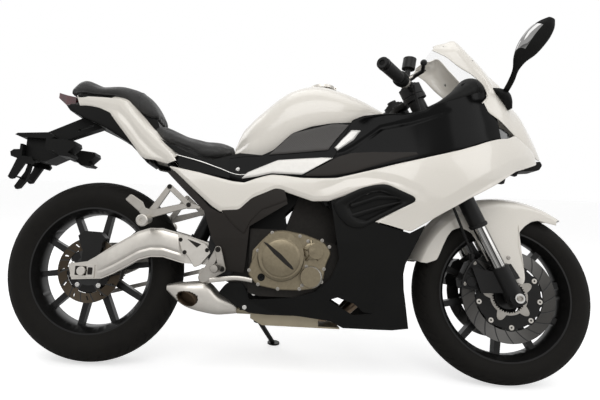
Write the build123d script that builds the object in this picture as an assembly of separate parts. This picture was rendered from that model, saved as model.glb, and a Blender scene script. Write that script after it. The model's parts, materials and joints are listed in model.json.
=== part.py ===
"""A sport bike with a parallel twin, built upright and then leaned on its side stand.

The bike frame is in millimetres: +X forward, +Y to the rider's left, +Z up, with the
origin on the ground below the rear axle. The last step leans the whole bike to the left
and moves the origin to the middle of its footprint.
"""

from build123d import *
import math
import os

# ---------------------------------------------------------------- driving dimensions
WHEELBASE = 1405.0
LEAN = 9.1
RAKE = 25.0
FORK_OFFSET = 30.0

RIM_SEAT_R = 216.0
RIM_WALL = 5.0
TYRE_WALL = 9.0
FRONT_TYRE_R = 292.0
FRONT_TYRE_WIDTH = 110.0
FRONT_RIM_WIDTH = 88.0
REAR_TYRE_R = 313.0
REAR_TYRE_WIDTH = 142.0
REAR_RIM_WIDTH = 116.0
SPOKES = 10
SPOKE_WIDTH = 19.0
FRONT_SPOKE_PHASE = -24.4
REAR_SPOKE_PHASE = -28.5

FRONT_DISC_R = 150.0
FRONT_DISC_BAND = 39.0
FRONT_DISC_Y = 64.0
DISC_THICKNESS = 5.0
REAR_DISC_R = 110.0
REAR_DISC_Y = 68.0
SPROCKET_R = 76.0
CHAIN_PITCH_R = 88.0
CHAIN_Y = 84.0
CHAIN_WIDTH = 14.0
CHAIN_HEIGHT = 15.0
FRONT_SPROCKET_R = 34.0
FRONT_SPROCKET_X = 502.0
FRONT_SPROCKET_Z = 392.0

FORK_SPREAD = 101.0
FORK_OUTER_R = 27.0
FORK_INNER_R = 20.5
FORK_OUTER_FOOT = 255.0
FORK_BOTTOM_TOP = 105.0
LOWER_CLAMP = 500.0
UPPER_CLAMP = 715.0
CLIP_ON = UPPER_CLAMP + 20
CLIP_ON_HEIGHT = 34.0
FORK_TOP = CLIP_ON + CLIP_ON_HEIGHT + 6
STEM_R = 15.0
HEAD_TUBE_R = 32.0
FRONT_AXLE_R = 10.0
REAR_AXLE_R = 9.0
RUNNING_GAP = 0.05
SEAT_GAP = 0.3

BAR_R = 11.0
GRIP_R = 17.0
GRIP_LENGTH = 130.0
# the bar's end from its root: back, outwards and down
BAR_BACK = 152.0
BAR_OUT = 218.0
BAR_DROP = 7.0
# along the bar from its root to the lever's perch
PERCH_ALONG = 83.0
POT_R = 21.0
HOSE_R = 4.5
HOSE_BEND = 40.0
# a hose union stops this far short of the hose's end point, and has this radius
UNION_GAP = HOSE_R + 0.7
UNION_R = 7.0
# up, across and ahead of the right fork leg
HOSE_ROUTE = [(752, 196, -24), (712, 160, -22), (620, 150, -30), (520, 146, -46), (400, 120, -52),
              (300, 102, -50), (215, 86, -52), (176, 80, -50)]

FENDER_FRONT = 50.0
FENDER_REAR = 161.0
FENDER_Y = 71.5
FENDER_WALL = 2.5

PANEL_WALL = 3.0
SWINGARM_PIVOT_X = 440.0
SWINGARM_PIVOT_Z = 382.0
SWINGARM_Y = 109.0
SWINGARM_WALL = 26.0
PIVOT_R = 10.0
PLATE_Y = 126.0
SHOCK_PIN_R = 10.0
SPOOL_X = 64.0
SPOOL_Z = 322.0
SPOOL_DEPTH = 22.0
SPOOL_BORE_R = 3.4
STAY_HALF = 141.0
STAY_R = 9.0
STAY_ROOT = (1282, 0, 917)
STAY_TO_DASH = (STAY_ROOT, (1259, 0, 958))
STAY_TO_LAMP = (STAY_ROOT, (1385, 0, 850))
PLATE_BOLT_SPACING = 100.0
PLATE_BOLT_R = 3.0
PLATE_BOLT_Z = 722.0

STAND_PIVOT = (580.0, 126.0, 152.0)
STAND_FOOT = (643.0, 257.0)
STAND_R = 9.0
STAND_PIN_R = 5.0
STAND_AXIS_TILT = 50.3

BOX_FRONT = 780.0
TIP_FRONT = 514.0

CAP_X = 790.0
CAP_R = 44.0
CAP_HEIGHT = 11.0
TANK_TOP = 1002.0
CAP_BASE = TANK_TOP + 4
CAP_HINGE_X = CAP_X + CAP_R + 3
CAP_HINGE_Z = CAP_BASE + 6
CAP_PIN_R = 2.0

FRONT_AXLE = Vector(WHEELBASE, 0, FRONT_TYRE_R)
REAR_AXLE = Vector(0, 0, REAR_TYRE_R)
FORK_UP = Vector(-math.sin(math.radians(RAKE)), 0, math.cos(math.radians(RAKE)))
FORK_AHEAD = Vector(math.cos(math.radians(RAKE)), 0, math.sin(math.radians(RAKE)))
STEM_FOOT = FRONT_AXLE - FORK_AHEAD * FORK_OFFSET


# ---------------------------------------------------------------- shape helpers
def rod(start, end, radius):
    """A round bar from one point to another."""
    start = Vector(start)
    along = Vector(end) - start
    return Solid.make_cylinder(radius, along.length, Plane(origin=start, z_dir=along))


def tube(start, end, radius, bore):
    """A round bar with a hole all the way through."""
    return rod(start, end, radius) - rod(start, end, bore)


def cross_rod(x, z, y_low, y_high, radius):
    """A round bar across the bike."""
    return rod((x, y_low, z), (x, y_high, z), radius)


def pipe(points, radius, bend):
    """A bent round bar along straight runs joined by arcs of one radius."""
    path = FilletPolyline(*points, radius=bend)
    start = Plane(origin=path @ 0, z_dir=path % 0)
    return sweep(start * Circle(radius), path=path)


def slab(outline, y_low, y_high):
    """A flat plate: an outline of (x, z) points carried across the bike."""
    wire = Wire.make_polygon([Vector(x, y_low, z) for x, z in outline])
    return Solid.extrude(Face(wire), Vector(0, y_high - y_low, 0))


def block(x, y, z):
    """A box from three (low, high) pairs."""
    corner = Plane(origin=(x[0], y[0], z[0]))
    return Solid.make_box(x[1] - x[0], y[1] - y[0], z[1] - z[0], corner)


def spun(profile, centre):
    """A ring about an axis across the bike, from a profile of (radius, y) points."""
    wire = Wire.make_polygon([Vector(radius, y, 0) for radius, y in profile])
    ring = Solid.revolve(Face(wire), 360, Axis.Y)
    return ring.moved(Location(centre))


def ruled(sections):
    """A solid with straight lines between closed sections of as many corners each."""
    wires = [Wire.make_polygon([Vector(*p) for p in section]) for section in sections]
    return Solid.make_loft(wires, ruled=True)


def strip(stations, wall):
    """A thin wall through stations (x, [(y, z), ...]), the wall lying inside the points."""
    sections = []
    for x, points in stations:
        inner = []
        for k, (y, z) in enumerate(points):
            y0, z0 = points[max(k - 1, 0)]
            y1, z1 = points[min(k + 1, len(points) - 1)]
            size = math.hypot(y1 - y0, z1 - z0)
            inner.append((y - wall * (z1 - z0) / size, z + wall * (y1 - y0) / size))
        sections.append([(x, y, z) for y, z in points + inner[::-1]])
    return ruled(sections)


def mirrored(shape):
    """The same shape on the other side of the bike."""
    return shape.mirror(Plane.XZ)


def both_sides(shape):
    """A left piece and its right twin, as separate solids."""
    return [shape, mirrored(shape)]


def round_about(angle, radius, centre):
    """The (x, z) point at an angle, anticlockwise from straight ahead, seen from the right."""
    turn = math.radians(angle)
    return centre.X + radius * math.cos(turn), centre.Z + radius * math.sin(turn)


def fork_point(up, across=0.0, ahead=0.0):
    """A point measured up a fork leg from the axle, across the bike and ahead of the leg."""
    return FRONT_AXLE + FORK_UP * up + FORK_AHEAD * ahead + Vector(0, across, 0)


def fused(shapes):
    """One solid out of pieces that overlap."""
    return shapes[0].fuse(*shapes[1:])


def largest(shape):
    """The biggest solid of a result that may hold scraps."""
    return max(shape.solids(), key=lambda piece: piece.volume)


# ---------------------------------------------------------------- wheels
def tyre(centre, radius, width, rim_width):
    """A hollow tyre with a round crown and straight lower sidewalls."""
    half = width / 2
    bead = rim_width / 2 - 8
    crown = []
    for step in range(-5, 6):
        angle = math.radians(step * 17)
        crown.append((radius - half + half * math.cos(angle) ** 0.9, half * math.sin(angle)))
    outer = [(RIM_SEAT_R, -bead), (RIM_SEAT_R + 14, -bead - 1)] + crown
    outer += [(RIM_SEAT_R + 14, bead + 1), (RIM_SEAT_R, bead)]
    inner = []
    for step in range(4, -5, -2):
        angle = math.radians(step * 17)
        r = radius - half + (half - TYRE_WALL) * math.cos(angle)
        inner.append((r, (half - TYRE_WALL) * math.sin(angle)))
    inner = [(RIM_SEAT_R, bead - TYRE_WALL)] + inner + [(RIM_SEAT_R, TYRE_WALL - bead)]
    return spun(outer + inner, centre)


def wheel(centre, rim_width, hub_r, hub_half, bore, phase):
    """A cast wheel: barrel, hub and straight spokes."""
    half = rim_width / 2
    seat = RIM_SEAT_R - SEAT_GAP
    floor = seat - 16
    barrel = [
        (seat + 12, -half), (seat + 12, -half + 5), (seat, -half + 8), (floor, -half + 28),
        (floor, half - 28), (seat, half - 8), (seat + 12, half - 5), (seat + 12, half),
        (seat - RIM_WALL, half), (floor - RIM_WALL, half - 28),
        (floor - RIM_WALL, -half + 28), (seat - RIM_WALL, -half),
    ]
    hub = [(0, -hub_half), (hub_r, -hub_half), (hub_r, hub_half), (0, hub_half)]
    parts = [spun(barrel, centre), spun(hub, centre)]
    for k in range(SPOKES):
        turn = phase + 360 / SPOKES * k
        arm = slab([(hub_r - 8, -SPOKE_WIDTH / 2 - 3), (floor - 2, -SPOKE_WIDTH / 2),
                    (floor - 2, SPOKE_WIDTH / 2), (hub_r - 8, SPOKE_WIDTH / 2 + 3)], -15, 15)
        parts.append(arm.rotate(Axis.Y, -turn).moved(Location(centre)))
    body = fused(parts)
    return body - cross_rod(centre.X, centre.Z, -hub_half - 1, hub_half + 1, bore)


def slotted_disc(centre, y, radius, band, slots, carrier_r, arms, bore_r):
    """A brake disc: a slotted band on a carrier with arms."""
    low, high = y - DISC_THICKNESS / 2, y + DISC_THICKNESS / 2
    ring = spun([(radius - band, low), (radius, low), (radius, high), (radius - band, high)], centre)
    for k in range(slots):
        turn = 360 / slots * k
        slot = slab([(radius - band + 9, -2.5), (radius - 9, 4), (radius - 9, 9), (radius - band + 9, 2.5)],
                    low - 1, high + 1)
        ring = ring - slot.rotate(Axis.Y, -turn).moved(Location(centre))
    carrier = spun([(bore_r, low), (carrier_r, low), (carrier_r, high), (bore_r, high)], centre)
    parts = [ring, carrier]
    for k in range(arms):
        arm = slab([(carrier_r - 5, -9), (radius - band + 4, -6), (radius - band + 4, 6),
                    (carrier_r - 5, 9)],
                   low + 0.5, high - 0.5)
        parts.append(arm.rotate(Axis.Y, -360 / arms * k).moved(Location(centre)))
    return fused(parts)


def make_front_wheel():
    hub_half = FRONT_DISC_Y - DISC_THICKNESS / 2
    bearing = FRONT_AXLE_R + RUNNING_GAP
    disc = slotted_disc(FRONT_AXLE, FRONT_DISC_Y, FRONT_DISC_R, FRONT_DISC_BAND, 18, 62, 9, 30)
    return {
        "front_tyre": tyre(FRONT_AXLE, FRONT_TYRE_R, FRONT_TYRE_WIDTH, FRONT_RIM_WIDTH),
        "front_rim": wheel(FRONT_AXLE, FRONT_RIM_WIDTH, 42, hub_half, bearing, FRONT_SPOKE_PHASE),
        "front_discs": both_sides(disc),
    }


def make_rear_wheel():
    hub_half = REAR_DISC_Y - DISC_THICKNESS / 2
    bearing = REAR_AXLE_R + RUNNING_GAP
    disc = slotted_disc(REAR_AXLE, -REAR_DISC_Y, REAR_DISC_R, 32, 12, 52, 6, 26)
    sprocket = spun([(26, hub_half), (52, hub_half), (52, CHAIN_Y - 3), (SPROCKET_R, CHAIN_Y - 3),
                     (SPROCKET_R, CHAIN_Y + 3), (26, CHAIN_Y + 3)], REAR_AXLE)
    teeth = 40
    for k in range(teeth):
        tooth = slab([(SPROCKET_R - 2, -3), (SPROCKET_R + 4, -1.2), (SPROCKET_R + 4, 1.2),
                      (SPROCKET_R - 2, 3)],
                     CHAIN_Y - 2.5, CHAIN_Y + 2.5)
        sprocket = sprocket.fuse(tooth.rotate(Axis.Y, 360 / teeth * k).moved(Location(REAR_AXLE)))
    return {
        "rear_tyre": tyre(REAR_AXLE, REAR_TYRE_R, REAR_TYRE_WIDTH, REAR_RIM_WIDTH),
        "rear_rim": wheel(REAR_AXLE, REAR_RIM_WIDTH, 46, hub_half, bearing, REAR_SPOKE_PHASE),
        "rear_disc": disc,
        "rear_sprocket": sprocket,
    }


# ---------------------------------------------------------------- steering
def clamp_plate(up, thickness, reach):
    """A fork clamp: a plate across both legs, narrow at the middle, round about each leg."""
    parts = []
    for side in (-1, 1):
        parts.append(rod(fork_point(up, side * FORK_SPREAD), fork_point(up + thickness, side * FORK_SPREAD),
                         FORK_OUTER_R + 11))
    middle = -FORK_OFFSET
    corners = [(middle - 30, -38), (-reach, -FORK_SPREAD), (reach, -FORK_SPREAD), (middle + 30, -30),
               (middle + 30, 30), (reach, FORK_SPREAD), (-reach, FORK_SPREAD), (middle - 30, 38)]
    wire = Wire.make_polygon([fork_point(up, across, ahead) for ahead, across in corners])
    parts.append(Solid.extrude(Face(wire), FORK_UP * thickness))
    return parts


def bar_line(side):
    """The root and the end of one handlebar."""
    root = fork_point(CLIP_ON + CLIP_ON_HEIGHT / 2, side * (FORK_SPREAD + FORK_OUTER_R + 4), -6)
    return root, root + Vector(-BAR_BACK, side * BAR_OUT, -BAR_DROP)


def make_steering():
    """Everything that turns with the bars, apart from the wheel."""
    stem_low = STEM_FOOT + FORK_UP * (LOWER_CLAMP - 8)
    stem_high = STEM_FOOT + FORK_UP * (UPPER_CLAMP + 30)
    clamps = clamp_plate(LOWER_CLAMP, 34, 24) + clamp_plate(UPPER_CLAMP, 18, 22)
    clamps.append(rod(stem_low, stem_high, STEM_R))
    clamps = fused(clamps)
    bores = [rod(fork_point(LOWER_CLAMP - 20, side * FORK_SPREAD),
                 fork_point(FORK_TOP + 60, side * FORK_SPREAD),
                 FORK_OUTER_R + RUNNING_GAP) for side in (-1, 1)]
    for bore in bores:
        clamps = clamps - bore
    clamps = clamps - rod(stem_low - FORK_UP, stem_high + FORK_UP, STEM_R - 4)

    outers, inners, bottoms, calipers, bars = [], [], [], [], []
    for side in (-1, 1):
        across = side * FORK_SPREAD
        outer = rod(fork_point(FORK_OUTER_FOOT, across), fork_point(FORK_TOP, across), FORK_OUTER_R)
        outer = outer.fuse(rod(fork_point(FORK_TOP - 1, across), fork_point(FORK_TOP + 12, across), 17))
        outer = outer - rod(fork_point(FORK_OUTER_FOOT - 1, across),
                            fork_point(FORK_OUTER_FOOT + 240, across), FORK_INNER_R + RUNNING_GAP)
        outers.append(outer)
        inners.append(rod(fork_point(40, across), fork_point(FORK_OUTER_FOOT + 235, across), FORK_INNER_R))
        foot = rod(fork_point(-24, across), fork_point(FORK_BOTTOM_TOP, across), FORK_INNER_R + 7)
        foot = foot.fuse(cross_rod(FRONT_AXLE.X, FRONT_AXLE.Z, across - 21, across + 21, 25))
        lug_top = fork_point(136, 0, -82)
        lug_low = fork_point(52, 0, -92)
        lug_a = fork_point(88, 0, -10)
        lug_b = fork_point(20, 0, -10)
        lug = slab([(lug_b.X, lug_b.Z), (lug_low.X, lug_low.Z), (lug_top.X, lug_top.Z), (lug_a.X, lug_a.Z)],
                   across - 6, across + 6)
        ear = [fork_point(up, 0, ahead) for up, ahead in ((48, 6), (44, 50), (96, 44), (98, 6))]
        near, far = FENDER_Y + FENDER_WALL + SEAT_GAP, FORK_SPREAD - 9
        ear = slab([(corner.X, corner.Z) for corner in ear], min(side * near, side * far),
                   max(side * near, side * far))
        foot = foot.fuse(lug, ear)
        foot = foot - rod(fork_point(40 - RUNNING_GAP, across), fork_point(FORK_BOTTOM_TOP + 60, across),
                          FORK_INNER_R + RUNNING_GAP)
        foot = foot - cross_rod(FRONT_AXLE.X, FRONT_AXLE.Z, across - 30, across + 30,
                                FRONT_AXLE_R + RUNNING_GAP)
        bottoms.append(foot)

        near, far = side * (FRONT_DISC_Y - 17), side * (FORK_SPREAD - 6)
        shape = [round_about(angle, r, FRONT_AXLE) for angle, r in
                 ((134, 106), (134, 160), (142, 168), (164, 168), (172, 160), (172, 106), (153, 100))]
        body = slab(shape, min(near, far), max(near, far))
        gap_low, gap_high = FRONT_DISC_Y - DISC_THICKNESS / 2 - 3, FRONT_DISC_Y + DISC_THICKNESS / 2 + 3
        gap = spun([(90, side * gap_low), (FRONT_DISC_R + 4, side * gap_low),
                    (FRONT_DISC_R + 4, side * gap_high), (90, side * gap_high)], FRONT_AXLE)
        body = body - gap
        if side < 0:
            x, z = round_about(142, 150, FRONT_AXLE)
            up, across_end, ahead = HOSE_ROUTE[-1]
            union, hose_end = Vector(x, -across_end, z), fork_point(up, -across_end, ahead)
            body = body.fuse(rod(union, hose_end - (hose_end - union).normalized() * UNION_GAP, UNION_R))
        calipers.append(body)

    for side in (-1, 1):
        leg_low = fork_point(CLIP_ON, side * FORK_SPREAD)
        leg_high = fork_point(FORK_TOP + 40, side * FORK_SPREAD)
        root, end = bar_line(side)
        along = (end - root).normalized()
        grip_start = end - along * GRIP_LENGTH
        collar = rod(leg_low, fork_point(CLIP_ON + CLIP_ON_HEIGHT, side * FORK_SPREAD), FORK_OUTER_R + 10)
        bar = fused([collar, rod(root, grip_start, BAR_R), rod(grip_start - along * 2, end, BAR_R - 2)])
        bar = bar - rod(leg_low - FORK_UP, leg_high, FORK_OUTER_R + RUNNING_GAP)
        bars.append(bar)
        bars.append(tube(grip_start + along * SEAT_GAP, end - along * 14, GRIP_R, BAR_R - 2 + RUNNING_GAP))
        bars.append(tube(end - along * 13.5, end + along * 10, GRIP_R - 1, BAR_R - 2))
    return {
        "fork_clamps": clamps,
        "fork_outer_tubes": outers,
        "fork_inner_tubes": inners,
        "fork_bottoms": bottoms,
        "front_calipers": calipers,
        "handlebars": bars,
    }


def make_front_fender():
    """A U-shaped mudguard round the tyre with two arms a side down to the fork."""
    skirt = FENDER_Y + FENDER_WALL
    outer = [(266, skirt), (300, skirt), (316, 67), (325, 46), (329, 0), (325, -46), (316, -67),
             (300, -skirt), (266, -skirt)]
    inner = [(r - 3.5, y * 0.955) for r, y in outer[::-1]]
    inner[0] = (266, -skirt + 3.5)
    inner[-1] = (266, skirt - 3.5)
    ring = spun(outer + inner, FRONT_AXLE)
    far = 420
    wedge = [(FRONT_AXLE.X, FRONT_AXLE.Z)]
    wedge += [round_about(angle, far, FRONT_AXLE) for angle in (FENDER_FRONT, 80, 115, FENDER_REAR)]
    shell = largest(ring.intersect(slab(wedge, -90, 90)))
    front_cut = [(1452, 470), (1470, 524), (1500, 545), (1535, 548), (1590, 522), (1660, 480), (1660, 380),
                 (1452, 380)]
    rear_cut = [(1290, 470), (1262, 492), (1228, 470), (1185, 400), (1180, 300), (1300, 300), (1340, 430)]
    for side in (-1, 1):
        low, high = (-80, -40) if side < 0 else (40, 80)
        shell = shell - slab(front_cut, low, high) - slab(rear_cut, low, high)
    parts = [shell]
    leaf = [(1348, 500), (1372, 437), (1398, 381), (1420, 352), (1450, 334), (1458, 350), (1447, 400),
            (1446, 462), (1462, 512), (1500, 548), (1460, 582), (1380, 590), (1330, 570)]
    arm = [(1340, 400), (1354, 403), (1330, 470), (1316, 540), (1310, 575), (1268, 560), (1262, 496),
           (1292, 500), (1312, 465)]
    for side in (-1, 1):
        low, high = (-skirt, -FENDER_Y) if side < 0 else (FENDER_Y, skirt)
        parts.append(slab(leaf, low, high))
        parts.append(slab(arm, low, high))
    return {"front_fender": fused(parts)}


def make_controls():
    """The front axle, the hand levers and the front brake hose."""
    half = FORK_SPREAD + FORK_INNER_R + 7.3
    axle = cross_rod(FRONT_AXLE.X, FRONT_AXLE.Z, -half, half, FRONT_AXLE_R)
    for side in (-1, 1):
        low, high = (half, half + 7) if side > 0 else (-half - 7, -half)
        axle = axle.fuse(cross_rod(FRONT_AXLE.X, FRONT_AXLE.Z, low, high, 15))

    root, end = bar_line(1)
    along = (end - root).normalized()
    perch_at = root + along * PERCH_ALONG
    pivot = perch_at + Vector(28, 7, 15)
    elbow = perch_at + Vector(44, 47, 19)
    ball = perch_at + Vector(29, 103, 22)
    perch = rod(perch_at - along * 14, perch_at + along * 14, BAR_R + 6)
    lever = fused([perch, rod(perch_at + Vector(6, 0, 3), pivot, 8), rod(pivot, elbow, 6.5),
                   rod(elbow, ball, 6), Solid.make_sphere(10, Plane(origin=ball))])
    pot_foot = perch_at + Vector(8, -1, 9)
    pot = rod(pot_foot + Vector(6, 0, 36), pot_foot + Vector(12, 0, 72), POT_R)
    hose_start = fork_point(*HOSE_ROUTE[0])
    union = perch_at + Vector(8, -2, -2)
    toward = (hose_start - union).normalized()
    brake = fused([lever, rod(pot_foot, pot_foot + Vector(6, 0, 38), 9), pot,
                   rod(union, hose_start - toward * UNION_GAP, UNION_R)])
    bar = rod(root, end, BAR_R + RUNNING_GAP)
    levers = [mirrored(brake - bar), lever - bar]

    hose_points = [fork_point(up, -across, ahead) for up, across, ahead in HOSE_ROUTE]
    hose = pipe(hose_points, HOSE_R, HOSE_BEND)
    return {"front_axle": axle, "hand_levers": levers, "front_brake_hose": hose}


# ---------------------------------------------------------------- chassis
def chain_loop(rear, rear_r, front, front_r, grow):
    """The outline of a belt round two wheels, grown outwards by a distance."""
    span = math.hypot(front.X - rear.X, front.Z - rear.Z)
    slope = math.degrees(math.atan2(front.Z - rear.Z, front.X - rear.X))
    lead = math.degrees(math.acos((rear_r - front_r) / span))
    points = []
    for k in range(25):
        angle = slope + lead + (360 - 2 * lead) / 24 * k
        points.append(round_about(angle, rear_r + grow, rear))
    for k in range(13):
        angle = slope - lead + 2 * lead / 12 * k
        points.append(round_about(angle, front_r + grow, front))
    return points


def make_rear_end():
    """The swingarm with what it carries: axle, brake, chain and shock."""
    inner = SWINGARM_Y - SWINGARM_WALL / 2
    outer = SWINGARM_Y + SWINGARM_WALL / 2
    side = [(-52, 333), (-36, 283), (64, 290), (103, 308), (182, 356), (222, 368), (263, 369), (330, 352),
            (420, 350), (472, 364), (472, 406), (420, 420), (352, 440), (298, 454), (256, 464), (214, 463),
            (173, 449), (94, 400), (36, 359), (12, 344)]
    arms = [slab(side, inner, outer), slab(side, -outer, -inner)]
    ears = [slab([(334, 385), (374, 385), (366, 427), (338, 427)], low, high)
            for low, high in ((-22, -15), (15, 22))]
    bridge = slab([(345, 352), (400, 352), (412, 366), (412, 392), (345, 392)], -inner - 2, inner + 2)
    pivot = cross_rod(SWINGARM_PIVOT_X, SWINGARM_PIVOT_Z, -inner - 1, inner + 1, 17)
    arm = fused(arms + ears + [bridge, pivot])
    arm = arm - cross_rod(352, 412, -30, 30, 6 + RUNNING_GAP)
    arm = arm - cross_rod(SWINGARM_PIVOT_X, SWINGARM_PIVOT_Z, -outer - 1, outer + 1, PIVOT_R + RUNNING_GAP)
    slot = [(-22, REAR_AXLE.Z - REAR_AXLE_R - 0.1), (22, REAR_AXLE.Z - REAR_AXLE_R - 0.1),
            (22, REAR_AXLE.Z + REAR_AXLE_R + 0.1), (-22, REAR_AXLE.Z + REAR_AXLE_R + 0.1)]
    arm = arm - slab(slot, -outer - 1, outer + 1)
    for y in (-SWINGARM_Y, SWINGARM_Y):
        low, high = (outer - SPOOL_DEPTH, outer + 1) if y > 0 else (-outer - 1, -outer + SPOOL_DEPTH)
        arm = arm - cross_rod(SPOOL_X, SPOOL_Z, low, high, SPOOL_BORE_R)

    half = outer + 10
    axle = cross_rod(0, REAR_AXLE.Z, -half, half, REAR_AXLE_R)
    for low, high in ((outer, outer + 5), (-outer - 5, -outer)):
        plate = slab([(-40, 292), (40, 292), (40, 334), (-40, 334)], low, high)
        axle = axle.fuse(plate)
    for low, high in ((half, half + 4), (-half - 9, -half)):
        axle = axle.fuse(cross_rod(0, REAR_AXLE.Z, low, high, 14))

    near, far = -REAR_DISC_Y - 24, -REAR_DISC_Y + 19
    shape = [round_about(angle, r, REAR_AXLE) for angle, r in
             ((64, 74), (64, 122), (76, 134), (100, 134), (110, 122), (110, 74), (88, 70))]
    caliper = slab(shape, near, far)
    gap = spun([(60, -REAR_DISC_Y - 5.5), (REAR_DISC_R + 4, -REAR_DISC_Y - 5.5),
                (REAR_DISC_R + 4, -REAR_DISC_Y + 5.5), (60, -REAR_DISC_Y + 5.5)], REAR_AXLE)
    caliper = caliper - gap
    bracket = slab([(-24, 305), (-18, 292), (18, 292), (24, 305), (46, 400), (-20, 405)], near, near + 8)
    caliper = caliper.fuse(bracket) - cross_rod(0, REAR_AXLE.Z, near - 1, far, REAR_AXLE_R + RUNNING_GAP)

    front = Vector(FRONT_SPROCKET_X, 0, FRONT_SPROCKET_Z)
    half_link = CHAIN_HEIGHT / 2
    outline = chain_loop(REAR_AXLE, CHAIN_PITCH_R, front, FRONT_SPROCKET_R, half_link)
    hole = chain_loop(REAR_AXLE, CHAIN_PITCH_R, front, FRONT_SPROCKET_R, -half_link)
    low, high = CHAIN_Y - CHAIN_WIDTH / 2, CHAIN_Y + CHAIN_WIDTH / 2
    chain = slab(outline, low, high) - slab(hole, low - 1, high + 1)

    foot, head = Vector(352, 0, 412), Vector(455, 0, 640)
    along = (head - foot).normalized()
    shock = fused([rod(foot, head, 9), rod(foot + along * 20, foot + along * 30, 33),
                   rod(foot + along * 180, foot + along * 190, 33), rod(foot + along * 150, head, 24),
                   rod(foot + along * 30, foot + along * 180, 27), cross_rod(foot.X, foot.Z, -14, 14, 15),
                   cross_rod(head.X, head.Z, -14, 14, 17), cross_rod(foot.X, foot.Z, -26, 26, 6)])
    shock = shock - cross_rod(head.X, head.Z, -30, 30, SHOCK_PIN_R + RUNNING_GAP)
    return {"swingarm": arm, "rear_axle": axle, "rear_caliper": caliper, "drive_chain": chain,
            "rear_shock": shock}


def stem_point(up, across=0.0, ahead=0.0):
    """A point measured up the steering axis, across the bike and ahead of the axis."""
    return STEM_FOOT + FORK_UP * up + FORK_AHEAD * ahead + Vector(0, across, 0)


def make_frame():
    """The tube frame with its head tube, pivot plates, rear rails and fairing stay."""
    head_low, head_high = LOWER_CLAMP + 34 + 1, UPPER_CLAMP - 1
    head = rod(stem_point(head_low), stem_point(head_high), HEAD_TUBE_R)
    parts = [head]
    for side in (-1, 1):
        spar = [stem_point(640, side * 14, -18), stem_point(600, side * 40, -92),
                Vector(930, side * 128, 720), Vector(740, side * 138, 668), Vector(560, side * 132, 600),
                Vector(455, side * 128, 470)]
        parts.append(pipe(spar, 15, 40))
        down = [stem_point(582, side * 14, -18), stem_point(560, side * 44, -90),
                Vector(890, side * 135, 590), Vector(800, side * 136, 560)]
        parts.append(pipe(down, 12, 30))
        parts.append(rod((800, side * 136, 560), (740, side * 138, 668), 12))
        low, high = (PLATE_Y, PLATE_Y + 10) if side > 0 else (-PLATE_Y - 10, -PLATE_Y)
        plate = slab([(425, 520), (480, 520), (500, 420), (498, 330), (470, 300), (430, 320), (412, 385)],
                     low, high)
        parts.append(plate)
        low, high = (112, 122) if side > 0 else (-122, -112)
        parts.append(slab([(438, 656), (470, 656), (562, 612), (566, 586), (520, 556), (438, 624)],
                          low, high))
    for x, z, half, r in ((508, 626, 118, 10), (455, 640, 118, SHOCK_PIN_R), (452, 500, 132, 10)):
        parts.append(cross_rod(x, z, -half, half, r))
    frame = fused(parts)
    frame = frame - rod(stem_point(head_low - 1), stem_point(head_high + 1), STEM_R + RUNNING_GAP)
    pivot = cross_rod(SWINGARM_PIVOT_X, SWINGARM_PIVOT_Z, -PLATE_Y - 13, PLATE_Y + 13, PIVOT_R)
    frame = frame.fuse(pivot)

    rear = []
    for side in (-1, 1):
        rail = [Vector(560, side * 128, 610), Vector(440, side * 110, 640), Vector(280, side * 96, 712),
                Vector(60, side * 62, 860), Vector(-60, side * 44, 884)]
        rear.append(pipe(rail, 11, 60))
        brace = [Vector(452, side * 130, 500), Vector(300, side * 98, 640), Vector(170, side * 82, 786)]
        rear.append(pipe(brace, 9, 60))
    rear.append(cross_rod(150, 804, -74, 74, 8))
    rear.append(cross_rod(-40, 880, -48, 48, 8))
    rear = largest(fused(rear) - frame)

    stay = fused([rod(stem_point(620, 0, 20), STAY_ROOT, 11), rod(*STAY_TO_DASH, STAY_R),
                  rod(*STAY_TO_LAMP, STAY_R),
                  cross_rod(STAY_ROOT[0], STAY_ROOT[2], -STAY_HALF, STAY_HALF, 8)]) - frame
    return {"main_frame": frame, "rear_subframe": rear, "fairing_stay": largest(stay)}


def stand_bracket():
    """The side stand's pin with its washer, and the strut that carries it below the sump."""
    pivot = Vector(*STAND_PIVOT)
    axis = stand_axis()
    plate = pivot + axis * (STAND_R + SEAT_GAP)
    top = plate + axis * 8
    elbow = Vector(588, 102, 194)
    return [rod(pivot - axis * (STAND_R + 4), top, STAND_PIN_R),
            rod(pivot - axis * (STAND_R + 4), pivot - axis * (STAND_R + SEAT_GAP), 9),
            rod(plate, top, 13), rod(top, elbow, 7), rod(elbow, (600, 92, 252), 8),
            Solid.make_sphere(8, Plane(origin=elbow))]


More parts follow.
